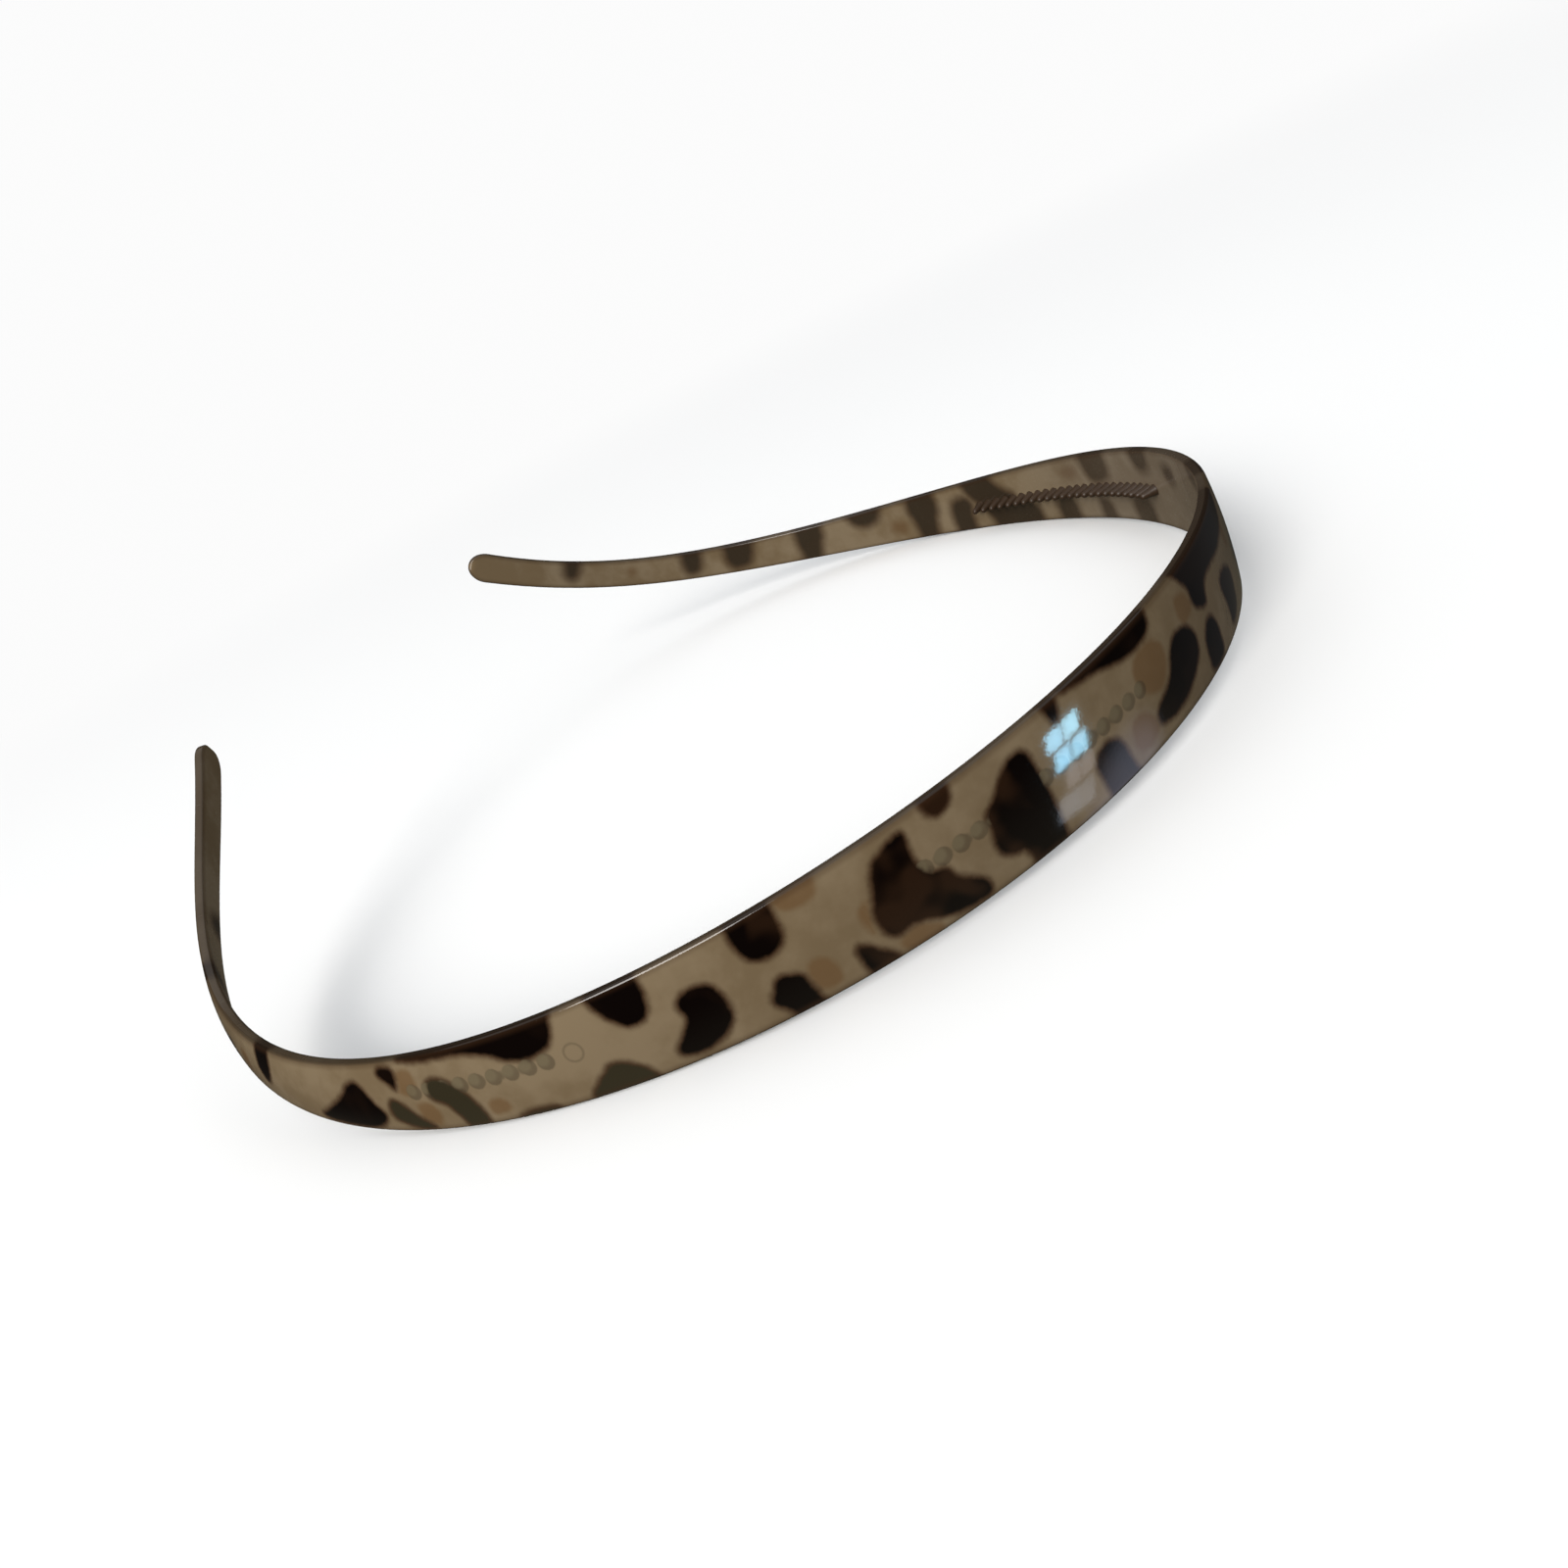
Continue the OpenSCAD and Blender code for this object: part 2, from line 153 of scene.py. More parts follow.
CROWN_AMBER: list[Outline] = [
    [(11.5, 1.3), (11.3, 4.8), (8.2, 4), (8, 2.2), (8.6, 1.4)],
    [(-10.5, 3), (-8.5, 4), (-8, 1), (-10.5, 0)],
]
RIGHT_DARK: list[Outline] = [
    [(12, -1), (15, 0.5), (18, -0.6), (18.5, -3.5), (14, -4.6)],
    [(20, 8), (20.5, 4.6), (23.5, 3.2), (27, 4), (28, 8)],
    [(27, -8), (28, -3.5), (31, -2.2), (33.5, -4), (34, -8)],
    [(36.6, 4), (38.5, 4.3), (40.3, 3.4), (39.6, 1.8), (37, 2)],
    [(44.8, 8), (45, 4), (47.2, 2.6), (49.6, 3.4), (50, 8)],
    [(49.3, -1.8), (53, -1.6), (55, -2.4), (54.8, -7), (49.8, -7)],
    [(57.6, 7), (58, 2.4), (60, 1), (64, 1), (64.5, 7)],
    [(61, -7), (61.4, -2.2), (64, -1.8), (64.8, -7)],
    [(70.2, -0.7), (74.6, -0.7), (75.2, -7), (70.8, -7)],
    [(79.5, -1.5), (83, -0.6), (86, -0.4), (86.8, -6), (80, -6)],
    [(88.5, 6), (94.4, 6), (93.3, 1.5), (91.2, -0.3), (90, -6), (85.2, -6), (84.8, -1), (83.4, 0.8),
     (86, 2)],
    [(94.4, 2), (97.4, 1.8), (98.8, -0.5), (99.4, -6), (95.6, -6), (95, -1.5), (93.9, 0.3)],
    [(101.3, 6), (106.2, 6), (107.6, 1.8), (107, -0.5), (107.3, -6), (104.4, -6), (103, -1), (101.2, 1.5)],
    [(112.8, 6), (121, 6), (119.5, 1.7), (117, 0.9), (114, 2)],
    [(126.2, 5), (131.6, 5), (131.6, 0.5), (131, -5), (128.8, -5), (127.4, -0.5), (126.5, 1.5)],
    [(140.2, 5), (146, 5), (146, 0.5), (145, -1.8), (142, -1.6), (141, 0.5)],
    [(150.9, 5), (154.1, 5), (154.2, 1), (153.4, -1.5), (151.5, -1.3), (150.8, 1)],
    [(172.7, 5), (175.4, 5), (175.2, 0.2), (174, -0.9), (173, 0.4)],
]
RIGHT_AMBER: list[Outline] = [
    [(66, 4), (69, 4.4), (71, 3), (69, 1.6), (66.4, 2)],
    [(108.5, 0), (112, 1), (113, -1.6), (110, -3)],
    [(162.4, 0.4), (163.4, 1.7), (164.8, 0.6), (164, -0.7), (162.8, -0.5)],
]


# Which of the left arm's dark blotches are thinner and look olive.
LEFT_OLIVE = (2, 3, 7, 8)


def signed_outlines(left: list[Outline], crown: list[Outline], right: list[Outline]) -> list[np.ndarray]:
    """Puts the outlines of both arms and the crown on one signed path, with their corners cut.

    Args:
        left: outlines of the left arm.
        crown: outlines that cross the crown, already signed.
        right: outlines of the right arm, measured from the crown.

    Returns:
        One array of (along_mm, up_mm) corners for each outline.
    """
    mirrored = [[(-a, v) for a, v in o] for o in right]
    return [cut_corners(np.array(o, float)) for o in left + crown + mirrored]


def cut_corners(loop: np.ndarray, rounds: int = 2, share: float = 0.22) -> np.ndarray:
    """Softens a closed outline by cutting each corner twice.

    Args:
        loop: corners of the outline.
        rounds: how many times every corner is cut.
        share: how much of each side is cut away at its ends.

    Returns:
        The softened corners.
    """
    for _ in range(rounds):
        after = np.roll(loop, -1, axis=0)
        first, second = loop * (1 - share) + after * share, loop * share + after * (1 - share)
        loop = np.stack([first, second], 1).reshape(-1, 2)
    return loop


def signed_distance(points: np.ndarray, outlines: list[np.ndarray], reach: float = 2.5) -> np.ndarray:
    """Distance from each point to the nearest outline, negative inside one.

    Args:
        points: (n, 2) array of along_mm and up_mm.
        outlines: closed outlines.
        reach: how far outside an outline's box a distance is still worked out.

    Returns:
        (n,) array of distances in millimetres.
    """
    best = np.full(len(points), FAR_MM)
    for loop in outlines:
        near = np.all((points > loop.min(0) - reach) & (points < loop.max(0) + reach), axis=1)
        if not near.any():
            continue
        p = points[near][:, None, :]
        a, b = loop[None], np.roll(loop, -1, axis=0)[None]
        side = b - a
        t = np.clip(((p - a) * side).sum(2) / np.maximum((side**2).sum(2), 1e-9), 0, 1)
        gap = np.linalg.norm(p - (a + side * t[..., None]), axis=2).min(1)
        crosses = (a[..., 1] > p[..., 1]) != (b[..., 1] > p[..., 1])
        run = np.where(np.abs(side[..., 1]) < 1e-9, 1e-9, side[..., 1])
        where = a[..., 0] + (p[..., 1] - a[..., 1]) * side[..., 0] / run
        inside = (crosses & (p[..., 0] < where)).sum(1) % 2 == 1
        best[near] = np.minimum(best[near], np.where(inside, -gap, gap))
    return best


@dataclass(frozen=True)
class HoopPath:
    """The hoop's twisted middle line: s runs from the right tip to the left tip, 0 at the crown."""

    crown: tuple[float, float, float]
    half_len: float = 0.190
    arm_sag: float = 0.004
    tip_rise: float = 0.023
    crown_lean: float = math.radians(-1)
    arm_lean: float = math.radians(12)
    lean_peak: float = 0.78
    crown_w: float = 0.013
    arm_w: float = 0.009
    tip_w: float = 0.0052
    turn: tuple[float, ...] = (2.98, -2.93, 6.59, -4.02)
    step: float = 0.0001

    def heading(self, s: np.ndarray) -> np.ndarray:
        """Angle the path has turned through by place s."""
        u = s / self.half_len
        return sum(k * u ** (2 * i + 1) for i, k in enumerate(self.turn))

    def frames(self, s: np.ndarray) -> tuple[np.ndarray, np.ndarray, np.ndarray]:
        """The middle line's points and the section's two directions there.

        Args:
            s: places along the path.

        Returns:
            Points, outward directions and upward directions, each (n, 3).
        """
        fine = np.arange(0, self.half_len + self.step, self.step)
        mid = self.heading(fine + self.step / 2)
        walk_x = np.concatenate([[0], -np.cumsum(np.sin(mid)) * self.step])[:-1]
        walk_y = np.concatenate([[0], -np.cumsum(np.cos(mid)) * self.step])[:-1]
        u = s / self.half_len
        sag = -(16 * self.arm_sag + self.tip_rise) / 3
        rise = self.tip_rise - sag
        x = np.interp(np.abs(s), fine, walk_x)
        y = np.interp(np.abs(s), fine, walk_y) * np.where(s < 0, -1, 1)
        points = np.stack([x, y, u**2 * (sag + u**2 * rise)], 1) + np.array(self.crown)
        slope = u * (2 * sag + 4 * u**2 * rise) / self.half_len
        turned = self.heading(s)
        tangent = self.unit(np.stack([-np.sin(turned), -np.cos(turned), slope], 1))
        normal = np.stack([np.cos(turned), -np.sin(turned), np.zeros_like(turned)], 1)
        normal = self.unit(normal - tangent * (normal * tangent).sum(1)[:, None])
        up = np.cross(tangent, normal)
        eased = np.sin(np.minimum(np.abs(u) / self.lean_peak, 1.3) * np.pi / 2) ** 2
        lean = self.crown_lean - self.arm_lean * eased
        c, n = np.cos(lean)[:, None], np.sin(lean)[:, None]
        return points, normal * c - up * n, up * c + normal * n

    def full_width(self, s: np.ndarray) -> np.ndarray:
        """Width of the band at each place, before its ends are rounded."""
        u = s / self.half_len
        a = (16 * (self.arm_w - self.crown_w) - (self.tip_w - self.crown_w)) / 3
        return self.crown_w + u**2 * (a + u**2 * (self.tip_w - self.crown_w - a))

    @staticmethod
    def unit(v: np.ndarray) -> np.ndarray:
        """The rows of v at unit length."""
        return v / np.linalg.norm(v, axis=1)[:, None]


class NodeMaker:
    """Adds nodes to a tree and wires them in one call each."""

    def __init__(self, tree: NodeTree) -> None:
        """Keeps the tree that nodes are added to."""
        self.tree = tree

    def add(self, kind: str, inputs: dict | None = None, **settings: object) -> bpy.types.Node:
        """Adds one node.

        Args:
            kind: the node's type name.
            inputs: socket name or number to a value, or to the output socket that feeds it.
            settings: attributes of the node itself.

        Returns:
            The new node.
        """
        node = self.tree.nodes.new(kind)
        for name, value in settings.items():
            setattr(node, name, value)
        for name, value in (inputs or {}).items():
            socket = node.inputs[name]
            if isinstance(value, Socket):
                self.tree.links.new(value, socket)
            else:
                socket.default_value = value
        return node

    def math(self, operation: str, *values: object, clamp: bool = False) -> Socket:
        """A maths node's result."""
        inputs = dict(enumerate(values))
        return self.add("ShaderNodeMath", inputs, operation=operation, use_clamp=clamp).outputs[0]

    def total(self, a: object, b: object) -> Socket:
        """a plus b."""
        return self.math("ADD", a, b)

    def times(self, a: object, b: object) -> Socket:
        """a times b."""
        return self.math("MULTIPLY", a, b)

    def less(self, a: object, b: object) -> Socket:
        """a minus b."""
        return self.math("SUBTRACT", a, b)

    def attribute(self, name: str) -> Socket:
        """A number that the mesh keeps for its points."""
        return self.add("ShaderNodeAttribute", attribute_name=name).outputs["Fac"]

    def noise(self, at: object, scale: float, detail: float, **more: float) -> Socket:
        """Cloudy noise from 0 to 1."""
        inputs = {"Vector": at, "Scale": scale, "Detail": detail}
        return self.add("ShaderNodeTexNoise", inputs | {k.title(): v for k, v in more.items()}).outputs[0]

    def scaled(self, vector: object, by: object) -> Socket:
        """A vector times a number."""
        return self.add("ShaderNodeVectorMath", {0: vector, 3: by}, operation="SCALE").outputs[0]

    def plus(self, a: object, b: object) -> Socket:
        """The sum of two vectors."""
        return self.add("ShaderNodeVectorMath", {0: a, 1: b}, operation="ADD").outputs[0]

    def between(self, value: object, low: object, high: object) -> Socket:
        """How far value has come from low to high, smoothly, from 0 to 1."""
        inputs = {"Value": value, "From Min": low, "From Max": high}
        return self.add("ShaderNodeMapRange", inputs, interpolation_type="SMOOTHSTEP").outputs[0]

    def mix(self, share: object, a: object, b: object) -> Socket:
        """Colour a turning into colour b as share goes from 0 to 1."""
        return self.add("ShaderNodeMix", {0: share, 6: a, 7: b}, data_type="RGBA").outputs[2]


def sockets(tree: NodeTree, inputs: dict[str, tuple], outputs: dict[str, str]) -> None:
    """Names a tree's sockets.

    Args:
        tree: the tree.
        inputs: name to (socket type, default or None).
        outputs: name to socket type.
    """
    for name, (kind, value) in inputs.items():
        made = tree.interface.new_socket(name, in_out="INPUT", socket_type=kind)
        if value is not None:
            made.default_value = value
    for name, kind in outputs.items():
        tree.interface.new_socket(name, in_out="OUTPUT", socket_type=kind)


FLOAT, INT = "NodeSocketFloat", "NodeSocketInt"
COLOR, GEOMETRY = "NodeSocketColor", "NodeSocketGeometry"


def end_tree(m: NodeMaker, made: Socket, material: Socket) -> None:
    """Ends a Geometry Nodes tree: real, smooth faces in the given material."""
    made = m.add("GeometryNodeRealizeInstances", {"Geometry": made}).outputs[0]
    made = m.add("GeometryNodeSetShadeSmooth", {"Geometry": made, "Shade Smooth": True}).outputs[0]
    made = m.add("GeometryNodeSetMaterial", {"Geometry": made, "Material": material}).outputs[0]
    m.add("NodeGroupOutput", {0: made})


def sweep_tree() -> NodeTree:
    """The Geometry Nodes tree that sweeps a section mesh along a spine mesh.

    The spine carries outward, upward, half_width, round and body at each station. The section carries, at
    each point, hold = (share of half width, share of the edge round sideways, share of half thickness) and
    lift = (share of the edge round outward, share of the film's depth, share of the face's crown).

    Returns:
        The tree.
    """
    tree = bpy.data.node_groups.new("SweepSection", "GeometryNodeTree")
    sockets(
        tree,
        {
            "Spine": (GEOMETRY, None),
            "Section": ("NodeSocketObject", None),
            "Stations": (INT, 2),
            "Around": (INT, 8),
            "Thickness": (FLOAT, 0.0016),
            "Face Crown": (FLOAT, 0.0003),
            "Film Depth": (FLOAT, 0.0004),
            "Material": ("NodeSocketMaterial", None),
        },
        {"Geometry": GEOMETRY},
    )
    m = NodeMaker(tree)
    given = m.add("NodeGroupInput").outputs
    ring = m.total(given["Around"], 1.0)
    grid = m.add(
        "GeometryNodeMeshGrid",
        {"Size X": 1.0, "Size Y": 1.0, "Vertices X": given["Stations"], "Vertices Y": ring},
    )
    index = m.total(m.add("GeometryNodeInputIndex").outputs[0], 0.5)
    station = m.math("FLOOR", m.math("DIVIDE", index, ring))
    corner = m.math("FLOORED_MODULO", m.less(index, m.times(station, ring)), given["Around"])
    shape = m.add("GeometryNodeObjectInfo", {"Object": given["Section"]}).outputs["Geometry"]

    def taken(source: object, at: object, name: str, kind: str = "FLOAT") -> Socket:
        """A named attribute of source, read at an index."""
        if name == "position":
            value = m.add("GeometryNodeInputPosition").outputs[0]
        else:
            value = m.add("GeometryNodeInputNamedAttribute", {"Name": name}, data_type=kind).outputs[0]
        found = {"Geometry": source, "Index": at}
        node = m.add("GeometryNodeSampleIndex", found, data_type=kind, domain="POINT")
        tree.links.new(value, node.inputs["Value"])
        return node.outputs["Value"]

    spine = given["Spine"]
    hold = m.add("ShaderNodeSeparateXYZ", {0: taken(shape, corner, "hold", "FLOAT_VECTOR")}).outputs
    lift = m.add("ShaderNodeSeparateXYZ", {0: taken(shape, corner, "lift", "FLOAT_VECTOR")}).outputs
    half_width = taken(spine, station, "half_width")
    edge = taken(spine, station, "round")
    body = taken(spine, station, "body")
    across = m.total(m.times(hold[0], m.less(half_width, edge)), m.times(hold[1], edge))
    half_thick = m.less(m.times(given["Thickness"], 0.5), edge)
    depth = m.total(m.times(hold[2], half_thick), m.times(lift[0], edge))
    depth = m.less(depth, m.times(lift[1], given["Film Depth"]))
    fall = m.times(lift[2], given["Face Crown"])
    depth = m.times(m.less(depth, fall), body)
    place = m.plus(
        taken(spine, station, "position", "FLOAT_VECTOR"),
        m.plus(
            m.scaled(taken(spine, station, "outward", "FLOAT_VECTOR"), depth),
            m.scaled(taken(spine, station, "upward", "FLOAT_VECTOR"), across),
        ),
    )
    made = m.add("GeometryNodeSetPosition", {"Geometry": grid.outputs["Mesh"], "Position": place}).outputs[0]
    kept = {
        "along": taken(spine, station, "along"),
        "across": m.times(across, 1 / MM),
        "facing": taken(shape, corner, "facing"),
    }
    for name, value in kept.items():
        store = m.add("GeometryNodeStoreNamedAttribute", {"Name": name}, data_type="FLOAT", domain="POINT")
        tree.links.new(made, store.inputs["Geometry"])
        tree.links.new(value, store.inputs["Value"])
        made = store.outputs[0]
    made = m.add("GeometryNodeMergeByDistance", {"Geometry": made, "Distance": 2e-6}).outputs[0]
    end_tree(m, made, given["Material"])
    return tree


def comb_tree() -> NodeTree:
    """The Geometry Nodes tree that stands a peg on every seat, pointing inward, at a slightly random size.

    Returns:
        The tree.
    """
    tree = bpy.data.node_groups.new("CombPegs", "GeometryNodeTree")
    sockets(
        tree,
        {
            "Seats": (GEOMETRY, None),
            "Peg": ("NodeSocketObject", None),
            "Least Size": (FLOAT, 0.96),
            "Most Size": (FLOAT, 1.0),
            "Seed": (INT, 5),
            "Material": ("NodeSocketMaterial", None),
        },
        {"Geometry": GEOMETRY},
    )
    m = NodeMaker(tree)
    given = m.add("NodeGroupInput").outputs
    inward = m.add("GeometryNodeInputNamedAttribute", {"Name": "inward"}, data_type="FLOAT_VECTOR").outputs[0]
    turned = m.add("FunctionNodeAlignRotationToVector", {"Vector": inward}, axis="Z").outputs[0]
    size = m.add("FunctionNodeRandomValue", data_type="FLOAT")
    tree.links.new(given["Least Size"], size.inputs[2])
    tree.links.new(given["Most Size"], size.inputs[3])
    tree.links.new(given["Seed"], size.inputs["Seed"])
    peg = m.add("GeometryNodeObjectInfo", {"Object": given["Peg"]}).outputs["Geometry"]
    stood = m.add(
        "GeometryNodeInstanceOnPoints",
        {"Points": given["Seats"], "Instance": peg, "Rotation": turned, "Scale": size.outputs[1]},
    ).outputs[0]
    end_tree(m, stood, given["Material"])
    return tree


def mesh_object(name: str, verts: np.ndarray, faces: list | None = None) -> bpy.types.Object:
    """A new object in the scene from bare points and faces."""
    mesh = bpy.data.meshes.new(name)
    mesh.from_pydata([tuple(map(float, v)) for v in verts], [], faces or [])
    obj = bpy.data.objects.new(name, mesh)
    bpy.context.scene.collection.objects.link(obj)
    return obj


def give(mesh: bpy.types.Mesh, name: str, values: np.ndarray) -> None:
    """Stores one number or one vector for each point of a mesh under a name."""
    values = np.asarray(values, np.float32)
    kind, slot = ("FLOAT_VECTOR", "vector") if values.ndim == 2 else ("FLOAT", "value")
    attribute = mesh.attributes.get(name) or mesh.attributes.new(name, kind, "POINT")
    attribute.data.foreach_set(slot, values.ravel())


def read(mesh: bpy.types.Mesh, name: str) -> np.ndarray:
    """The numbers a mesh keeps for its points under a name."""
    out = np.zeros(len(mesh.vertices), np.float32)
    mesh.attributes[name].data.foreach_get("value", out)
    return out


def grow(obj: bpy.types.Object, tree: NodeTree, settings: dict[str, object]) -> None:
    """Runs a Geometry Nodes tree on an object and keeps its result as the object's plain mesh.

    Args:
        obj: the object that carries the tree's input.
        tree: the tree.
        settings: socket name to value.
    """
    modifier = obj.modifiers.new(tree.name, "NODES")
    modifier.node_group = tree
    by_name = {item.name: item.identifier for item in tree.interface.items_tree if item.in_out == "INPUT"}
    for name, value in settings.items():
        modifier[by_name[name]] = value
    graph = bpy.context.evaluated_depsgraph_get()
    graph.update()
    shaped = obj.evaluated_get(graph)
    made = bpy.data.meshes.new_from_object(shaped, preserve_all_data_layers=True, depsgraph=graph)
    obj.modifiers.remove(modifier)
    obj.data = made
    made.name = obj.name


def face_outward(mesh: bpy.types.Mesh) -> float:
    """Turns a closed mesh's faces outward if they point in, and gives its volume in cubic millimetres."""
    work = bmesh.new()
    work.from_mesh(mesh)
    volume = work.calc_volume(signed=True)
    if volume < 0:
        bmesh.ops.reverse_faces(work, faces=work.faces)
        work.to_mesh(mesh)
    work.free()
    return abs(volume) / MM**3


# ---------------------------------------------------------------- finishes


def blotch_group() -> NodeTree:
    """The shared tortoiseshell pattern: cloudy horn, amber patches and dark blotches with brown halos.

    Returns:
        A shader group that puts out Color and Dark (where the dark pigment is).
    """
    tree = bpy.data.node_groups.new("TortoisePattern", "ShaderNodeTree")
    sockets(
        tree,
        {
            "Softness": (FLOAT, 0.3),
            "Haze": (FLOAT, 0.0),
            "Bloom": (COLOR, (0.19, 0.165, 0.14, 1)),
            "Olive": (COLOR, (0.026, 0.021, 0.011, 1)),
            "Horn": (COLOR, (0.2, 0.15, 0.1, 1)),
            "Pale Horn": (COLOR, (0.25, 0.2, 0.14, 1)),
            "Amber": (COLOR, (0.16, 0.09, 0.04, 1)),
            "Halo": (COLOR, (0.08, 0.035, 0.015, 1)),
            "Pigment": (COLOR, (0.004, 0.002, 0.0015, 1)),
        },
        {"Color": COLOR, "Dark": FLOAT},
    )
    m = NodeMaker(tree)
    given = m.add("NodeGroupInput").outputs
    dark_mm = m.attribute("dark_mm")
    amber_mm = m.attribute("amber_mm")
    spot = m.add("ShaderNodeTexCoord").outputs["Object"]
    ragged = m.noise(spot, 900.0, 3.0)
    ragged = m.times(m.less(ragged, 0.5), 0.45)
    cloud = m.noise(spot, 85.0, 4.0, distortion=0.6)
    fine = m.noise(spot, 420.0, 3.0)
    milky = m.between(m.total(cloud, m.times(m.less(fine, 0.5), 0.35)), 0.36, 0.66)
    colour = m.mix(milky, given["Horn"], given["Pale Horn"])
    soft = given["Softness"]
    amber_at = m.total(amber_mm, ragged)
    amber = m.between(amber_at, m.times(soft, 0.9), m.times(soft, -1.3))
    colour = m.mix(m.times(amber, AMBER_SHARE), colour, given["Amber"])
    dark_at = m.total(dark_mm, ragged)
    along = m.math("ABSOLUTE", m.attribute("along"))
    near_crown = m.between(along, *HAZE_MM)
    haze = m.times(given["Haze"], m.total(m.times(near_crown, 1.5), 1.0))
    clear = m.less(1.0, haze)
    colour = m.mix(m.times(near_crown, m.times(given["Haze"], BLOOM_GAIN)), colour, given["Bloom"])
    halo = m.between(dark_at, m.times(soft, 1.9), m.times(soft, -0.2))
    colour = m.mix(m.times(halo, m.times(clear, 0.9)), colour, given["Halo"])
    dark = m.between(dark_at, m.times(soft, 0.35), m.times(soft, -0.8))
    patchy = m.noise(spot, 130.0, 2.0)
    middle = m.times(m.between(along, THIN_MM[3], THIN_MM[2]), m.between(along, *THIN_MM[:2]))
    spread = m.total(m.times(middle, 0.38), 0.08)
    thin = m.times(m.between(patchy, 0.47, 0.58), spread)
    pigment = m.mix(thin, given["Pigment"], given["Halo"])
    olive = m.between(m.attribute("olive_mm"), 0.6, 0.2)
    pigment = m.mix(olive, pigment, given["Olive"])
    colour = m.mix(m.times(dark, clear), colour, pigment)
    m.add("NodeGroupOutput", {0: colour, 1: dark})
    return tree


def handling_group() -> NodeTree:
    """The shared marks of use: fine scuffs along the band, smears and a faint ripple.

    Returns:
        A shader group that puts out Roughness and Height.
    """
    tree = bpy.data.node_groups.new("HandlingMarks", "ShaderNodeTree")
    sockets(
        tree,
        {
            "Base Roughness": (FLOAT, 0.12),
            "Scuffs": (FLOAT, 0.1),
            "Ripple": (FLOAT, 0.5),
            "Peel": (FLOAT, 0.26),
        },
        {"Roughness": FLOAT, "Height": FLOAT},
    )
    m = NodeMaker(tree)
    given = m.add("NodeGroupInput").outputs
    along = m.attribute("along")
    across = m.attribute("across")
    strip = m.add("ShaderNodeCombineXYZ", {0: along, 1: m.times(across, 7.0)}).outputs[0]
    drawn = m.noise(strip, 1.4, 5.0, roughness=0.7)
    scuffed = m.between(drawn, 0.58, 0.72)
    spot = m.add("ShaderNodeTexCoord").outputs["Object"]
    smear = m.noise(spot, 60.0, 3.0)
    rough = m.total(given["Base Roughness"], m.times(scuffed, given["Scuffs"]))
    rough = m.math("ADD", rough, m.times(m.less(smear, 0.5), 0.1), clamp=True)
    wave = m.noise(spot, 190.0, 1.0)
    peel = m.noise(spot, 2400.0, 2.0)
    height = m.less(m.times(wave, given["Ripple"]), m.times(scuffed, 0.04))
    height = m.total(height, m.times(peel, given["Peel"]))
    m.add("NodeGroupOutput", {0: rough, 1: height})
    return tree


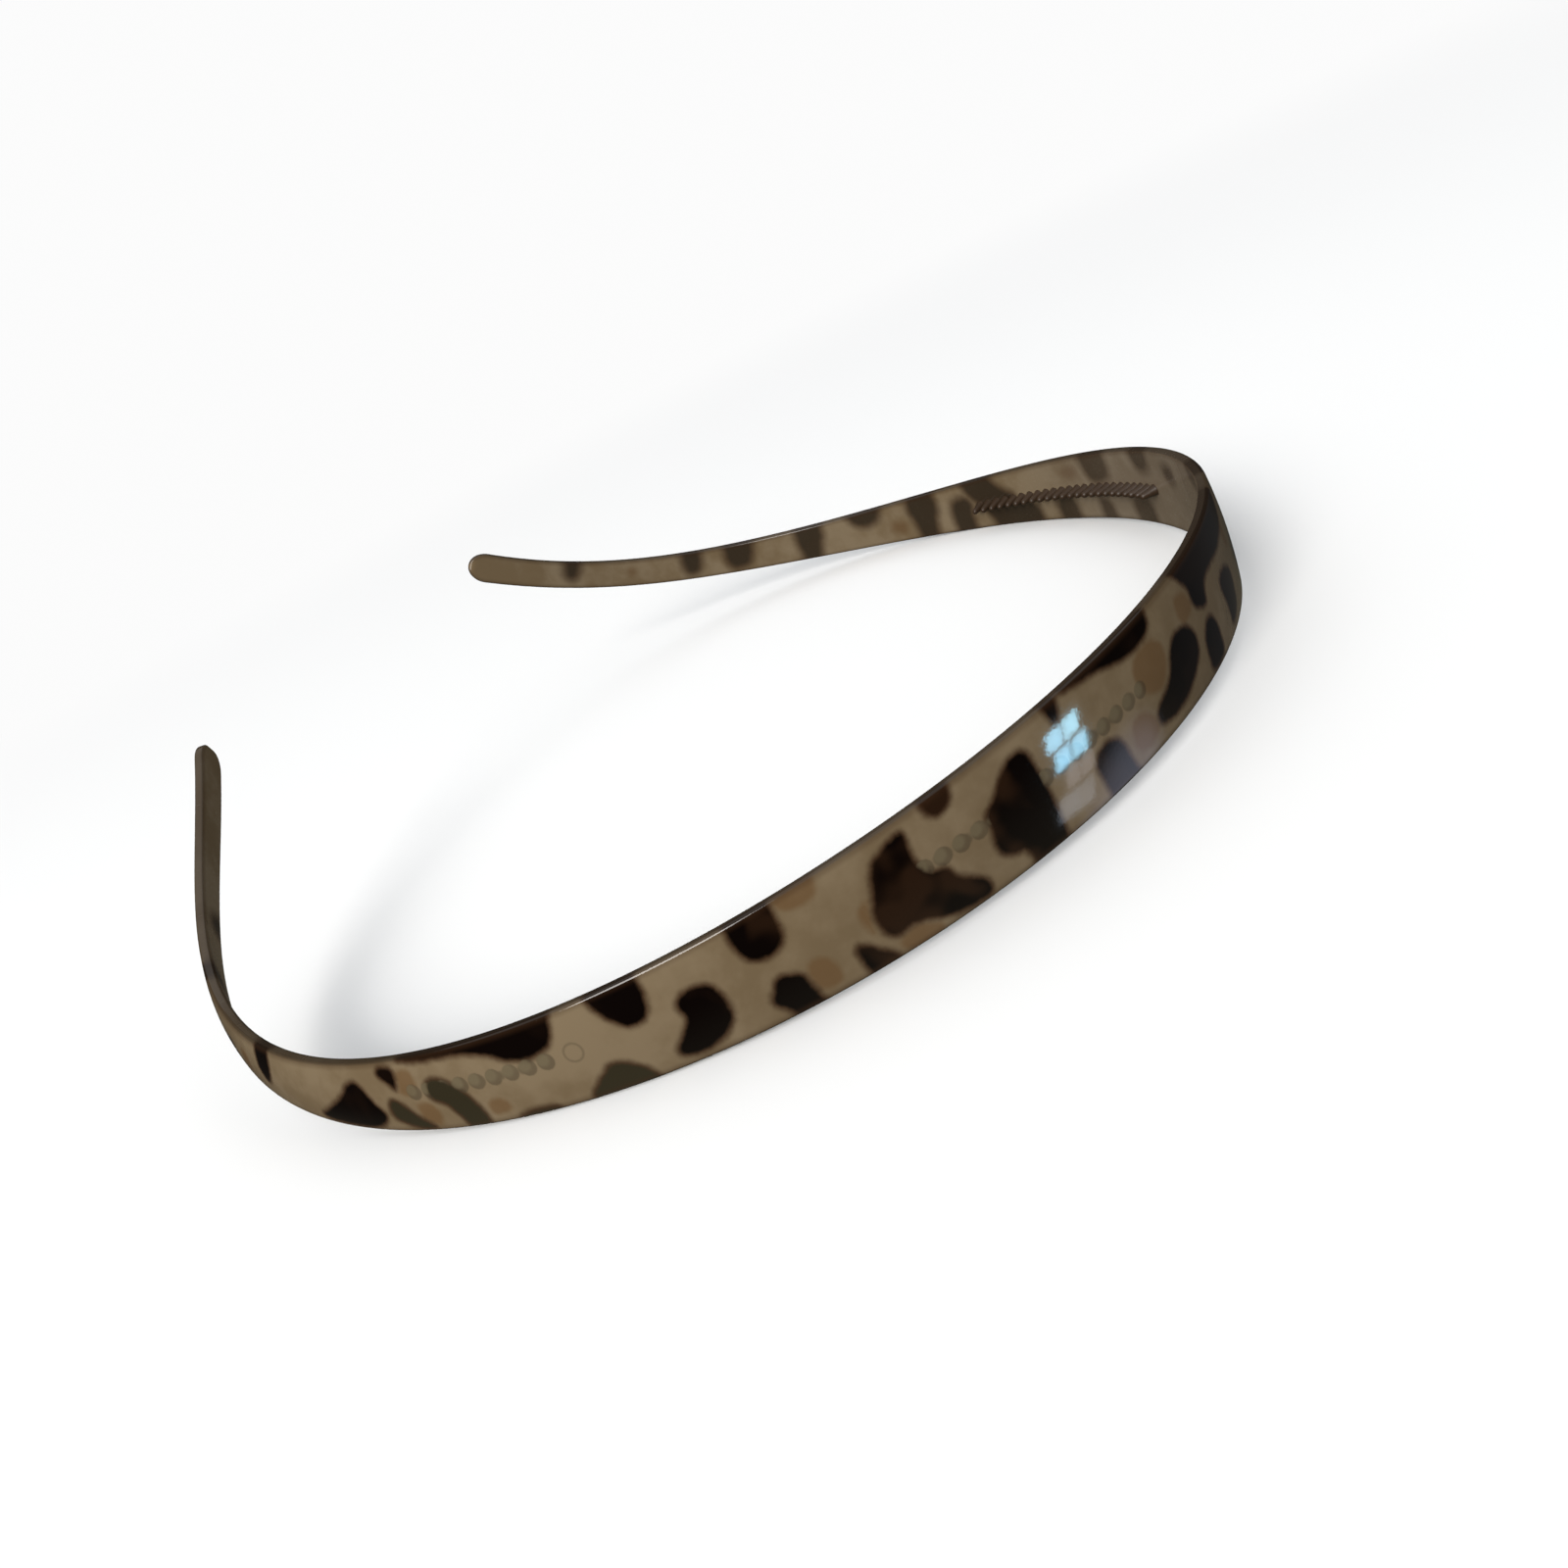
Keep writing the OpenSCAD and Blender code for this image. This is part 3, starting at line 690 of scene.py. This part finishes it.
@dataclass(frozen=True)
class Plastic:
    """One glossy plastic finish of the headband, with the pattern seen at its own depth."""

    name: str
    softness: float
    horn: Colour
    pale_horn: Colour
    haze: float = 0.0
    amber: Colour = (0.118, 0.064, 0.026, 1)
    halo: Colour = (0.036, 0.016, 0.007, 1)
    pigment: Colour = (0.0022, 0.0010, 0.0007, 1)
    roughness: float = 0.07
    scuffs: float = 0.1
    # Painted shade: how strongly the side walls are darkened.
    wall_shade: float = 0.42
    # Painted shade: how strongly the faces are darkened next to the edges.
    edge_shade: float = 0.45
    # Painted shade and painted light of the pegs and the ejector marks seen through the band: their strength,
    # the shade colour and the lit colour.
    painted_shading_seen_through: float = 0.0
    foot_shade: Colour = (0.046, 0.036, 0.022, 1)
    foot_light: Colour = (0.150, 0.122, 0.072, 1)
    # Colour of the painted shade on the side walls.
    wall_shade_colour: Colour = (0.012, 0.009, 0.006, 1)

    def build(self, pattern: NodeTree, marks: NodeTree) -> bpy.types.Material:
        """Makes the material.

        Args:
            pattern: the shared tortoiseshell group.
            marks: the shared handling marks group.

        Returns:
            The material.
        """
        material = bpy.data.materials.new(self.name)
        material.use_nodes = True
        tree = material.node_tree
        tree.nodes.clear()
        m = NodeMaker(tree)
        seen = m.add("ShaderNodeGroup", node_tree=pattern)
        for name, value in {
            "Softness": self.softness, "Haze": self.haze, "Horn": self.horn, "Pale Horn": self.pale_horn,
            "Amber": self.amber, "Halo": self.halo, "Pigment": self.pigment,
        }.items():
            seen.inputs[name].default_value = value
        worn = m.add("ShaderNodeGroup", node_tree=marks)
        worn.inputs["Base Roughness"].default_value = self.roughness
        worn.inputs["Scuffs"].default_value = self.scuffs
        colour = seen.outputs["Color"]
        # Painted shade and painted light of the pegs seen through the band: a dark disc at each peg's foot
        # and a lit spot shifted to one side, on the pale parts only.
        if self.painted_shading_seen_through:
            foot_mm = m.attribute("peg_mm")
            lit_mm = m.attribute("peg_lit_mm")
            foot = m.between(foot_mm, 1.02, 0.78)
            lit = m.times(foot, m.between(lit_mm, 0.95, 0.45))
            light = m.times(m.less(1.0, seen.outputs["Dark"]), self.painted_shading_seen_through)
            colour = m.mix(m.times(foot, m.times(light, 0.62)), colour, self.foot_shade)
            colour = m.mix(m.times(lit, m.times(light, 0.6)), colour, self.foot_light)
            # Painted shade: a dark ring round each ejector-pin mark, on the pale parts only.
            mark_mm = m.attribute("mark_mm")
            mark_ring_shade = m.between(m.math("ABSOLUTE", m.less(mark_mm, 0.95)), 0.2, 0.05)
            colour = m.mix(m.times(mark_ring_shade, m.times(light, 0.35)), colour, self.foot_shade)
        # Painted shade: the faces are darkened toward the halo colour within 0.9 mm of the band's edges.
        edge_mm = m.attribute("edge_mm")
        edge_shade_share = m.times(m.between(edge_mm, 0.9, 0.1), self.edge_shade)
        colour = m.mix(edge_shade_share, colour, self.halo)
        # Painted shade: the side walls are darkened toward a near-black colour.
        facing = m.attribute("facing")
        wall = m.between(m.math("ABSOLUTE", facing), 0.95, 0.4)
        shaded = m.mix(m.times(wall, 1.0 - self.wall_shade), colour, self.wall_shade_colour)
        relief = {"Strength": 0.12, "Distance": 0.0001, "Height": worn.outputs["Height"]}
        bump = m.add("ShaderNodeBump", relief)
        shader = m.add(
            "ShaderNodeBsdfPrincipled",
            {
                "Base Color": shaded, "Roughness": worn.outputs["Roughness"], "Normal": bump.outputs[0],
                "IOR": 1.49,
            },
        )
        m.add("ShaderNodeOutputMaterial", {0: shader.outputs[0]})
        material.diffuse_color = self.horn
        return material


@dataclass(frozen=True)
class StudioFloor:
    """Plain pale paper sweep that the band lies on."""

    radius: float = 4.0
    bend: float = 2.0
    wall: float = 1.4
    round_steps: int = 72
    bend_steps: int = 10
    fade_from: float = 0.16
    fade_to: float = 0.7
    tone: float = 0.81

    def build(self) -> bpy.types.Object:
        """Makes the floor, flat in the middle and curving up far away, hidden from gloss, diffuse light and
        shadows.
        """
        rings = [(0.0, 0.0)]
        rings += [(self.radius * k / 6, 0.0) for k in range(1, 7)]
        rings += [
            (self.radius + self.bend * math.sin(a), self.bend * (1 - math.cos(a)))
            for a in (QUARTER * k / self.bend_steps for k in range(1, self.bend_steps + 1))
        ]
        rings.append((rings[-1][0], rings[-1][1] + self.wall))
        round_steps = self.round_steps
        verts, faces = [(0.0, 0.0, 0.0)], []
        for r, z in rings[1:]:
            turn = [2 * math.pi * k / round_steps for k in range(round_steps)]
            verts += [(r * math.cos(t), r * math.sin(t), z) for t in turn]
        for k in range(round_steps):
            faces.append((0, 1 + k, 1 + (k + 1) % round_steps))
        for ring in range(len(rings) - 2):
            a, b = 1 + ring * round_steps, 1 + (ring + 1) * round_steps
            for k in range(round_steps):
                n = (k + 1) % round_steps
                faces.append((a + k, b + k, b + n, a + n))
        floor = mesh_object("StudioFloor", np.array(verts), faces)
        floor.data.polygons.foreach_set("use_smooth", [True] * len(floor.data.polygons))
        material = bpy.data.materials.new("PalePaper")
        material.use_nodes = True
        m = NodeMaker(material.node_tree)
        shader = material.node_tree.nodes["Principled BSDF"]
        spot = m.add("ShaderNodeTexCoord").outputs["Object"]
        grain = m.noise(spot, 3.0, 2.0)
        t = self.tone
        paper = m.mix(grain, (t, t, t, 1), (t * 0.985, t * 0.985, t * 0.98, 1))
        material.node_tree.links.new(paper, shader.inputs["Base Color"])
        shader.inputs["Roughness"].default_value = 0.9
        shader.inputs["Specular IOR Level"].default_value = 0.1
        away = m.add("ShaderNodeVectorMath", {0: spot}, operation="LENGTH").outputs["Value"]
        glow = m.add("ShaderNodeEmission", {"Color": PAPER_WHITE})
        fade = m.between(away, self.fade_from, self.fade_to)
        both = m.add("ShaderNodeMixShader", {0: fade, 1: shader.outputs[0], 2: glow.outputs[0]})
        out = material.node_tree.nodes["Material Output"]
        material.node_tree.links.new(both.outputs[0], out.inputs["Surface"])
        floor.data.materials.append(material)
        floor.visible_glossy = False
        floor.visible_diffuse = False
        floor.visible_shadow = False
        return floor


# ---------------------------------------------------------------- pieces


@dataclass
class BandLayer:
    """One swept layer of the band: the clear moulding, or the blotched film on its outer face."""

    part: Part
    zone: Zone
    path: HoopPath
    flex: "Flex"
    thickness: float = 0.0016
    film_depth: float = 0.0004
    face_crown: float = 0.0003
    edge_round: float = 0.00036
    station: float = 0.00042
    tip_steps: int = 12
    outer_steps: int = 36
    inner_steps: int = 26
    hidden_steps: int = 6
    corner_steps: int = 4
    mark_at_mm: float = 85.0
    mark_r_mm: float = 0.95
    mark_slope_mm: float = 0.25
    mark_depth: float = 0.00012
    comb_mm: tuple[tuple[float, float], ...] = ((21, 49), (88, 104), (-92, -46))
    peg_pitch_mm: float = 2.0
    # Where the pegs' painted shade sits up the band, and how far their painted light is shifted from it.
    foot_up_mm: float = 0.5
    lit_shift_mm: float = 0.3

    def stations(self) -> tuple[np.ndarray, np.ndarray, np.ndarray]:
        """Where this length's sections stand, closer together round a tip.

        Returns:
            Places along the path, and at each its share of the full width and of the full thickness.
        """
        cut, tip_r = self.flex.half_len, self.path.tip_w / 2
        straight = self.path.half_len - tip_r
        if self.zone is Zone.CROWN:
            s = np.linspace(-cut, cut, int(2 * cut / self.station))
            return s, np.ones_like(s), np.ones_like(s)
        arm = np.linspace(cut, straight, int((straight - cut) / self.station))
        angles = np.linspace(0, math.pi / 2, self.tip_steps + 1)[1:]
        s = np.concatenate([arm, straight + tip_r * np.sin(angles)])
        narrow = np.concatenate([np.ones_like(arm), np.cos(angles)])
        body = np.concatenate([np.ones_like(arm), np.sqrt(np.maximum(1 - np.sin(angles) ** 10, 0))])
        if self.zone is Zone.RIGHT:
            s, narrow, body = -s[::-1], narrow[::-1], body[::-1]
        return s, narrow, body

    def spine(self) -> tuple[bpy.types.Object, int]:
        """The mesh of stations that the sweep follows, with one more at each cut end that closes it.

        Returns:
            The object, and how many stations it has.
        """
        s, narrow, body = self.stations()
        points, outward, upward = self.path.frames(s)
        half_width = self.path.full_width(s) / 2 * narrow
        rounds = np.minimum(self.edge_round, half_width * 0.8)
        rows = np.column_stack([points, outward, upward, half_width, rounds, body, s / MM])
        for end, cut in ((0, self.zone is not Zone.RIGHT), (-1, self.zone is not Zone.LEFT)):
            if cut:
                shut = rows[end].copy()
                shut[0:3] += shut[3:6] * self.middle_depth()
                shut[9:12] = 0
                rows = np.vstack([shut, rows] if end == 0 else [rows, shut])
        obj = mesh_object(f"{self.zone.value}_{self.part.value}_strip", rows[:, 0:3])
        give(obj.data, "outward", rows[:, 3:6])
        give(obj.data, "upward", rows[:, 6:9])
        for column, name in enumerate(("half_width", "round", "body", "along"), 9):
            give(obj.data, name, rows[:, column])
        return obj, len(rows)

    def middle_depth(self) -> float:
        """How far out the middle of this layer's own thickness lies."""
        half = self.thickness / 2
        return half - self.film_depth / 2 if self.part is Part.FILM else -self.film_depth / 2

    def section(self) -> bpy.types.Object:
        """The section's points, each with its shares of the band's sizes.

        Returns:
            A hidden helper object whose points run once round the section.
        """
        angles = [QUARTER * k / self.corner_steps for k in range(1, self.corner_steps)]
        hidden = np.linspace(-1, 1, self.hidden_steps + 1)
        if self.part is Part.FILM:
            rows = [(a, 0, 1, 1, 0, a * a, 1) for a in np.linspace(-1, 1, self.outer_steps + 1)]
            round_edge = [(math.sin(t), math.cos(t), 1 - 0.9 * t / QUARTER) for t in angles]
            rows += [(1, sine, 1, cosine, 0, 1, face) for sine, cosine, face in round_edge]
            rows += [(1, 1, 1, 0, 0, 1, 0.1)]
            rows += [(a, a, 1, 1, 1, a * a, 0.1) for a in reversed(hidden)]
            rows += [(-1, -1, 1, 0, 0, 1, 0.1)]
            rows += [(-1, -sine, 1, cosine, 0, 1, face) for sine, cosine, face in reversed(round_edge)]
        else:
            rows = [(a, a, 1, 1, 1, a * a, 0) for a in hidden]
            round_edge = [(math.sin(t), -math.cos(t), -1 + 0.9 * t / QUARTER) for t in angles]
            rows += [(1, 1, 0, 0, 0, 0.3, 0), (1, 1, -1, 0, 0, 0, 0)]
            rows += [(1, sine, -1, cosine, 0, 0, face) for sine, cosine, face in reversed(round_edge)]
            rows += [(a, 0, -1, -1, 0, 0, -1) for a in np.linspace(1, -1, self.inner_steps + 1)]
            rows += [(-1, -sine, -1, cosine, 0, 0, face) for sine, cosine, face in round_edge]
            rows += [(-1, -1, -1, 0, 0, 0, 0), (-1, -1, 0, 0, 0, 0.3, 0)]
        table = np.array(rows)
        obj = mesh_object(f"{self.part.value}_section", np.zeros((len(table), 3)))
        give(obj.data, "hold", table[:, 0:3])
        give(obj.data, "lift", table[:, 3:6])
        give(obj.data, "facing", table[:, 6])
        return obj

    def dress(self, mesh: bpy.types.Mesh) -> None:
        """Stores distances to the blotches, and to the edges, peg feet and marks that place painted shade and
        light.
        """
        strip = np.stack([read(mesh, "along"), read(mesh, "across")], 1).astype(float)
        along, across = strip.T
        patches = {
            "dark_mm": signed_outlines(LEFT_DARK, CROWN_DARK, RIGHT_DARK),
            "amber_mm": signed_outlines(LEFT_AMBER, CROWN_AMBER, RIGHT_AMBER),
            "olive_mm": signed_outlines([LEFT_DARK[k] for k in LEFT_OLIVE], [], []),
        }
        for name, outlines in patches.items():
            give(mesh, name, signed_distance(strip, outlines))
        tip_mm = self.path.tip_w / 2 / MM
        into_tip = np.clip((np.abs(along) - self.path.half_len / MM + tip_mm) / tip_mm, 0, 1)
        half_mm = self.path.full_width(along * MM) / 2 / MM * np.sqrt(1 - into_tip**2)
        # How far each point is from the band's edge, which places the painted edge shade.
        give(mesh, "edge_mm", half_mm - np.abs(across))
        # Distances from each peg's foot and from a spot shifted to its lit side, which place the pegs'
        # painted shade and painted light.
        feet = [s for first, last in self.comb_mm for s in np.arange(first, last + 0.01, self.peg_pitch_mm)]
        foot, lit = np.full(len(strip), FAR_MM), np.full(len(strip), FAR_MM)
        for s in feet:
            up = across - self.foot_up_mm
            foot = np.minimum(foot, np.hypot(along - s, up))
            lit = np.minimum(lit, np.hypot(along - s - self.lit_shift_mm, up - self.lit_shift_mm))
        give(mesh, "peg_mm", foot)
        give(mesh, "peg_lit_mm", lit)
        # Distance from each ejector mark, which places its painted shade ring.
        give(mesh, "mark_mm", np.hypot(np.abs(along) - self.mark_at_mm, across - self.foot_up_mm))

    def press_marks(self, mesh: bpy.types.Mesh) -> None:
        """Sinks the round ejector-pin marks into the inner face."""
        along, across, facing = (read(mesh, n) for n in ("along", "across", "facing"))
        co = np.zeros(len(mesh.vertices) * 3, np.float32)
        mesh.vertices.foreach_get("co", co)
        co = co.reshape(-1, 3)
        _, outward, _ = self.path.frames(along * MM)
        gap = np.hypot(np.abs(along) - self.mark_at_mm, across)
        sunk = np.clip((self.mark_r_mm - gap) / self.mark_slope_mm, 0, 1) * (facing < -0.9)
        depth = sunk * self.mark_depth
        mesh.vertices.foreach_set("co", (co + outward * depth[:, None]).astype(np.float32).ravel())

    def build(self, tree: NodeTree, material: bpy.types.Material) -> bpy.types.Object:
        """Sweeps and dresses the layer.

        Args:
            tree: the sweep tree.
            material: the layer's finish.

        Returns:
            The finished layer, in place.
        """
        obj, stations = self.spine()
        section = self.section()
        grow(
            obj,
            tree,
            {
                "Section": section,
                "Stations": stations,
                "Around": len(section.data.vertices),
                "Thickness": self.thickness,
                "Face Crown": self.face_crown,
                "Film Depth": self.film_depth,
                "Material": material,
            },
        )
        bpy.data.objects.remove(section)
        volume = face_outward(obj.data)
        obj.data.set_sharp_from_angle(angle=math.radians(50))
        self.dress(obj.data)
        if self.part is Part.MOULDING:
            self.press_marks(obj.data)
        log.info("%s: %d faces, %.0f mm3", obj.name, len(obj.data.polygons), volume)
        return obj

    def attach(self, obj: bpy.types.Object) -> None:
        """Bakes the crown in place or fixes the arm, and hides the CAD nodes the layer stands for."""
        name = self.zone.value
        if self.zone is Zone.CROWN:
            self.flex.bend(obj)
        else:
            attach(obj, f"{name}_half")
        nodes = ("band",) if self.part is Part.MOULDING else ("film", "blotches", "amber")
        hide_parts(*(f"{name}_{node}" for node in nodes))


@dataclass(frozen=True)
class Flex:
    """Where the crown piece ends along the hoop's path, and how a piece is baked in place."""

    path: HoopPath
    half_len: float = 0.062

    def bend(self, obj: bpy.types.Object) -> None:
        """Bakes a piece's placement into its mesh; the reach over the crown is worked out but not used, and
        nothing bends.
        """
        reach = float(np.abs(self.path.frames(np.array([self.half_len]))[0][0, 1]))
        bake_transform(obj)


@dataclass
class Comb:
    """The rows of moulded pegs on one arm's inner face."""

    side: Side
    path: HoopPath
    rows_mm: tuple[tuple[float, float], ...]
    band_t: float = 0.0016
    pitch_mm: float = 2.0
    foot_r: float = 0.0009
    tip_r: float = 0.0005
    height: float = 0.0024
    root: float = 0.0001
    sides: int = 12

    def peg(self) -> bpy.types.Object:
        """One turned peg with a flared foot and a rounded tip, standing on the origin."""
        rise, dome = self.height - self.tip_r, 3
        profile = [(self.foot_r, -self.root), (self.foot_r * 0.93, 0.0001), (self.tip_r * 1.25, rise * 0.55)]
        profile += [
            (self.tip_r * math.cos(a), rise + self.tip_r * math.sin(a))
            for a in (QUARTER * k / dome for k in range(dome))
        ]
        verts = [
            (r * math.cos(t), r * math.sin(t), z)
            for r, z in profile
            for t in (2 * math.pi * k / self.sides for k in range(self.sides))
        ]
        verts += [(0, 0, self.height), (0, 0, -self.root)]
        n, faces = self.sides, []
        for ring in range(len(profile) - 1):
            for k in range(n):
                a, b = ring * n + k, ring * n + (k + 1) % n
                faces.append((a, b, b + n, a + n))
        top, last = len(profile) * n, (len(profile) - 1) * n
        faces += [(last + k, last + (k + 1) % n, top) for k in range(n)]
        faces += [((k + 1) % n, k, top + 1) for k in range(n)]
        return mesh_object("peg_pattern", np.array(verts), faces)

    def build(self, tree: NodeTree, material: bpy.types.Material) -> bpy.types.Object:
        """Stands the pegs on the inner face.

        Args:
            tree: the comb tree.
            material: the pegs' finish.

        Returns:
            The finished rows as one piece.
        """
        places = np.concatenate([np.arange(a, b + 0.01, self.pitch_mm) for a, b in self.rows_mm])
        points, outward, _ = self.path.frames(places * self.side.value * MM)
        obj = mesh_object(f"{self.side.name.lower()}_comb_pegs", points - outward * self.band_t / 2)
        give(obj.data, "inward", -outward)
        peg = self.peg()
        grow(obj, tree, {"Peg": peg, "Seed": 5 + self.side.value, "Material": material})
        bpy.data.objects.remove(peg)
        log.info("%s: %d pegs", obj.name, len(places))
        return obj


@dataclass(frozen=True)
class Studio:
    """Soft lights, world and the camera."""

    eye: tuple[float, float, float] = (0.1051, -0.1226, 0.0605)
    gaze: tuple[float, float, float] = (-0.5940, 0.7058, -0.3860)
    roll: float = math.radians(-27.2)
    lens: float = 28.08
    surround: Colour = (0.56, 0.58, 0.60, 1)
    room_high: Colour = (0.02, 0.018, 0.016, 1)
    under: Colour = (0.16, 0.155, 0.15, 1)
    room_low: Colour = (0.14, 0.13, 0.10, 1)
    glows: tuple[tuple, ...] = (
        (24.0, -37.0, 2.0, 14.0, (1.0, 1.05, 1.3, 1)),
        (62.0, -20.0, 6.0, 30.0, (0.055, 0.055, 0.055, 1)),
    )
    window_from: tuple[float, float, float] = (0.0600, -0.0302, 0.0099)
    window_far: float = 0.6
    panes: tuple[tuple, ...] = (
        (0.8, 5.0, -19.0, -15.2, 20.0, (0.34, 0.74, 1.0)),
        (5.8, 9.8, -19.0, -15.2, 20.0, (0.38, 0.78, 1.0)),
        (2.2, 6.4, -23.6, -19.8, 20.0, (0.32, 0.72, 1.0)),
        (7.2, 11.4, -23.6, -19.8, 18.0, (0.34, 0.74, 1.0)),
        (4.6, 8.2, -28.0, -24.4, 2.3, (0.95, 0.92, 1.0)),
        (8.9, 12.6, -28.0, -24.4, 2.0, (0.95, 0.92, 1.0)),
        (2.0, 7.4, -33.4, -28.8, 2.6, (0.72, 0.84, 1.0)),
        (8.2, 12.0, -33.4, -28.8, 2.2, (0.8, 0.88, 1.0)),
    )

    def camera(self) -> None:
        """Places the camera close to the near arm, looking down across the hoop."""
        data = bpy.data.cameras.new("Camera")
        data.lens = self.lens
        data.sensor_width = 36.0
        data.clip_start = 0.005
        data.clip_end = 60.0
        obj = bpy.data.objects.new("Camera", data)
        look = Vector(self.gaze).to_track_quat("-Z", "Y")
        obj.rotation_mode = "QUATERNION"
        obj.rotation_quaternion = look @ Quaternion((0, 0, 1), self.roll)
        obj.location = self.eye
        bpy.context.scene.collection.objects.link(obj)
        bpy.context.scene.camera = obj

    def light(
        self, name: str, at: tuple, aim: tuple, size: tuple, watts: float, tint: tuple = (1, 1, 1)
    ) -> bpy.types.Object:
        """Adds one rectangular soft light.

        Args:
            name: the light's name.
            at: where it is.
            aim: the point it faces.
            size: its width and height.
            watts: its power.
            tint: its colour.

        Returns:
            The light.
        """
        data = bpy.data.lights.new(name, "AREA")
        data.shape = "RECTANGLE"
        data.size, data.size_y = size
        data.energy = watts
        data.color = tint
        obj = bpy.data.objects.new(name, data)
        obj.location = at
        obj.rotation_mode = "QUATERNION"
        obj.rotation_quaternion = (Vector(aim) - Vector(at)).to_track_quat("-Z", "Y")
        bpy.context.scene.collection.objects.link(obj)
        return obj

    def heading(self, turn: float, rise: float) -> Vector:
        """The direction with a turn about the vertical and a rise above the level, both in degrees."""
        t, r = math.radians(turn), math.radians(rise)
        return Vector((math.cos(r) * math.cos(t), math.cos(r) * math.sin(t), math.sin(r)))

    def world(self) -> None:
        """A pale surround that lights the band evenly, and that its gloss sees as a dim room."""
        world = bpy.data.worlds.new("Surround")
        bpy.context.scene.world = world
        world.use_nodes = True
        m = NodeMaker(world.node_tree)
        shade = world.node_tree.nodes["Background"]
        way = m.add("ShaderNodeTexCoord").outputs["Generated"]
        rise = m.add("ShaderNodeSeparateXYZ", {0: way}).outputs[2]
        room = m.mix(m.between(rise, -0.24, -0.62), self.room_high, self.room_low)
        for turn, lift, inner, outer, tint in self.glows:
            near = m.add(
                "ShaderNodeVectorMath", {0: way, 1: self.heading(turn, lift)}, operation="DOT_PRODUCT"
            ).outputs["Value"]
            share = m.between(near, math.cos(math.radians(outer)), math.cos(math.radians(inner)))
            room = m.mix(share, room, tint)
        path = m.add("ShaderNodeLightPath").outputs
        around = m.mix(m.between(rise, -0.05, 0.1), self.under, self.surround)
        seen = m.mix(path["Is Glossy Ray"], around, room)
        seen = m.mix(path["Is Camera Ray"], seen, PAPER_WHITE)
        world.node_tree.links.new(seen, shade.inputs["Color"])

    def window(self) -> None:
        """Small cool panes that only gloss sees, with dimmer ones under them."""
        start = Vector(self.window_from)
        for number, (left, right, low, high, glow, tint) in enumerate(self.panes):
            way = self.heading((left + right) / 2, (low + high) / 2)
            wide = math.radians(right - left) * self.window_far
            tall = math.radians(high - low) * self.window_far
            watts = glow * math.pi * wide * tall
            place = start + way * self.window_far
            pane = self.light(f"Pane{number}", place, start, (wide, tall), watts, tint)
            pane.visible_camera = False
            pane.visible_diffuse = False
            pane.visible_transmission = False

    def build(self) -> None:
        """Sets up the colour handling, the world, the lights and the camera."""
        bpy.context.scene.view_settings.view_transform = "Standard"
        self.world()
        self.light("Overhead", (0.0, 0.0, 4.0), (0, 0, 0), (8.0, 8.0), 95.0)
        self.light("Key", (0.2, -2.7, 1.6), (0, 0, 0), (1.6, 1.6), 95.0, (1.0, 0.97, 0.93))
        self.window()
        self.camera()


def main() -> None:
    """Builds the headband's pieces in order, dresses them and reports each."""
    joint = frame["record"]["behaviour"]["joints"][0]
    crown = tuple(joint["pos_m"])
    path = HoopPath(crown=crown)
    flex = Flex(path=path)
    Studio().build()
    StudioFloor().build()
    pattern, marks = blotch_group(), handling_group()
    # The film alone carries the painted shade and light of the pegs and the ejector marks.
    film_look = Plastic(
        name="TortoiseFilm", softness=0.38, horn=(0.146, 0.104, 0.058, 1),
        pale_horn=(0.188, 0.140, 0.084, 1), painted_shading_seen_through=0.9,
    )
    moulding_look = Plastic(
        name="ClearMoulding", softness=0.9, haze=0.2, horn=(0.168, 0.118, 0.064, 1),
        pale_horn=(0.220, 0.166, 0.102, 1), pigment=(0.024, 0.017, 0.010, 1), roughness=0.24,
    )
    # The pegs' dark brown is partly painted shade and partly the pattern behind them; the real pegs are clear
    # like the moulding.
    shaded_peg_look = Plastic(
        name="CombPlastic", softness=0.7, horn=(0.046, 0.035, 0.021, 1),
        pale_horn=(0.068, 0.052, 0.032, 1), roughness=0.42, wall_shade=1.0, edge_shade=0.0,
    )
    sweep, comb = sweep_tree(), comb_tree()
    for part, look in ((Part.MOULDING, moulding_look), (Part.FILM, film_look)):
        finish = look.build(pattern, marks)
        for zone in Zone:
            layer = BandLayer(part=part, zone=zone, path=path, flex=flex)
            layer.attach(layer.build(sweep, finish))
    peg_finish = shaded_peg_look.build(pattern, marks)
    for side, rows_mm in ((Side.LEFT, ((21, 49), (88, 104))), (Side.RIGHT, ((46, 92),))):
        rows = Comb(side, path, rows_mm).build(comb, peg_finish)
        flex.bend(rows)
        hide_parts(f"{side.name.lower()}_comb")


if __name__ == "__main__":
    logging.basicConfig(level=logging.INFO, format="%(name)s: %(message)s")
    main()
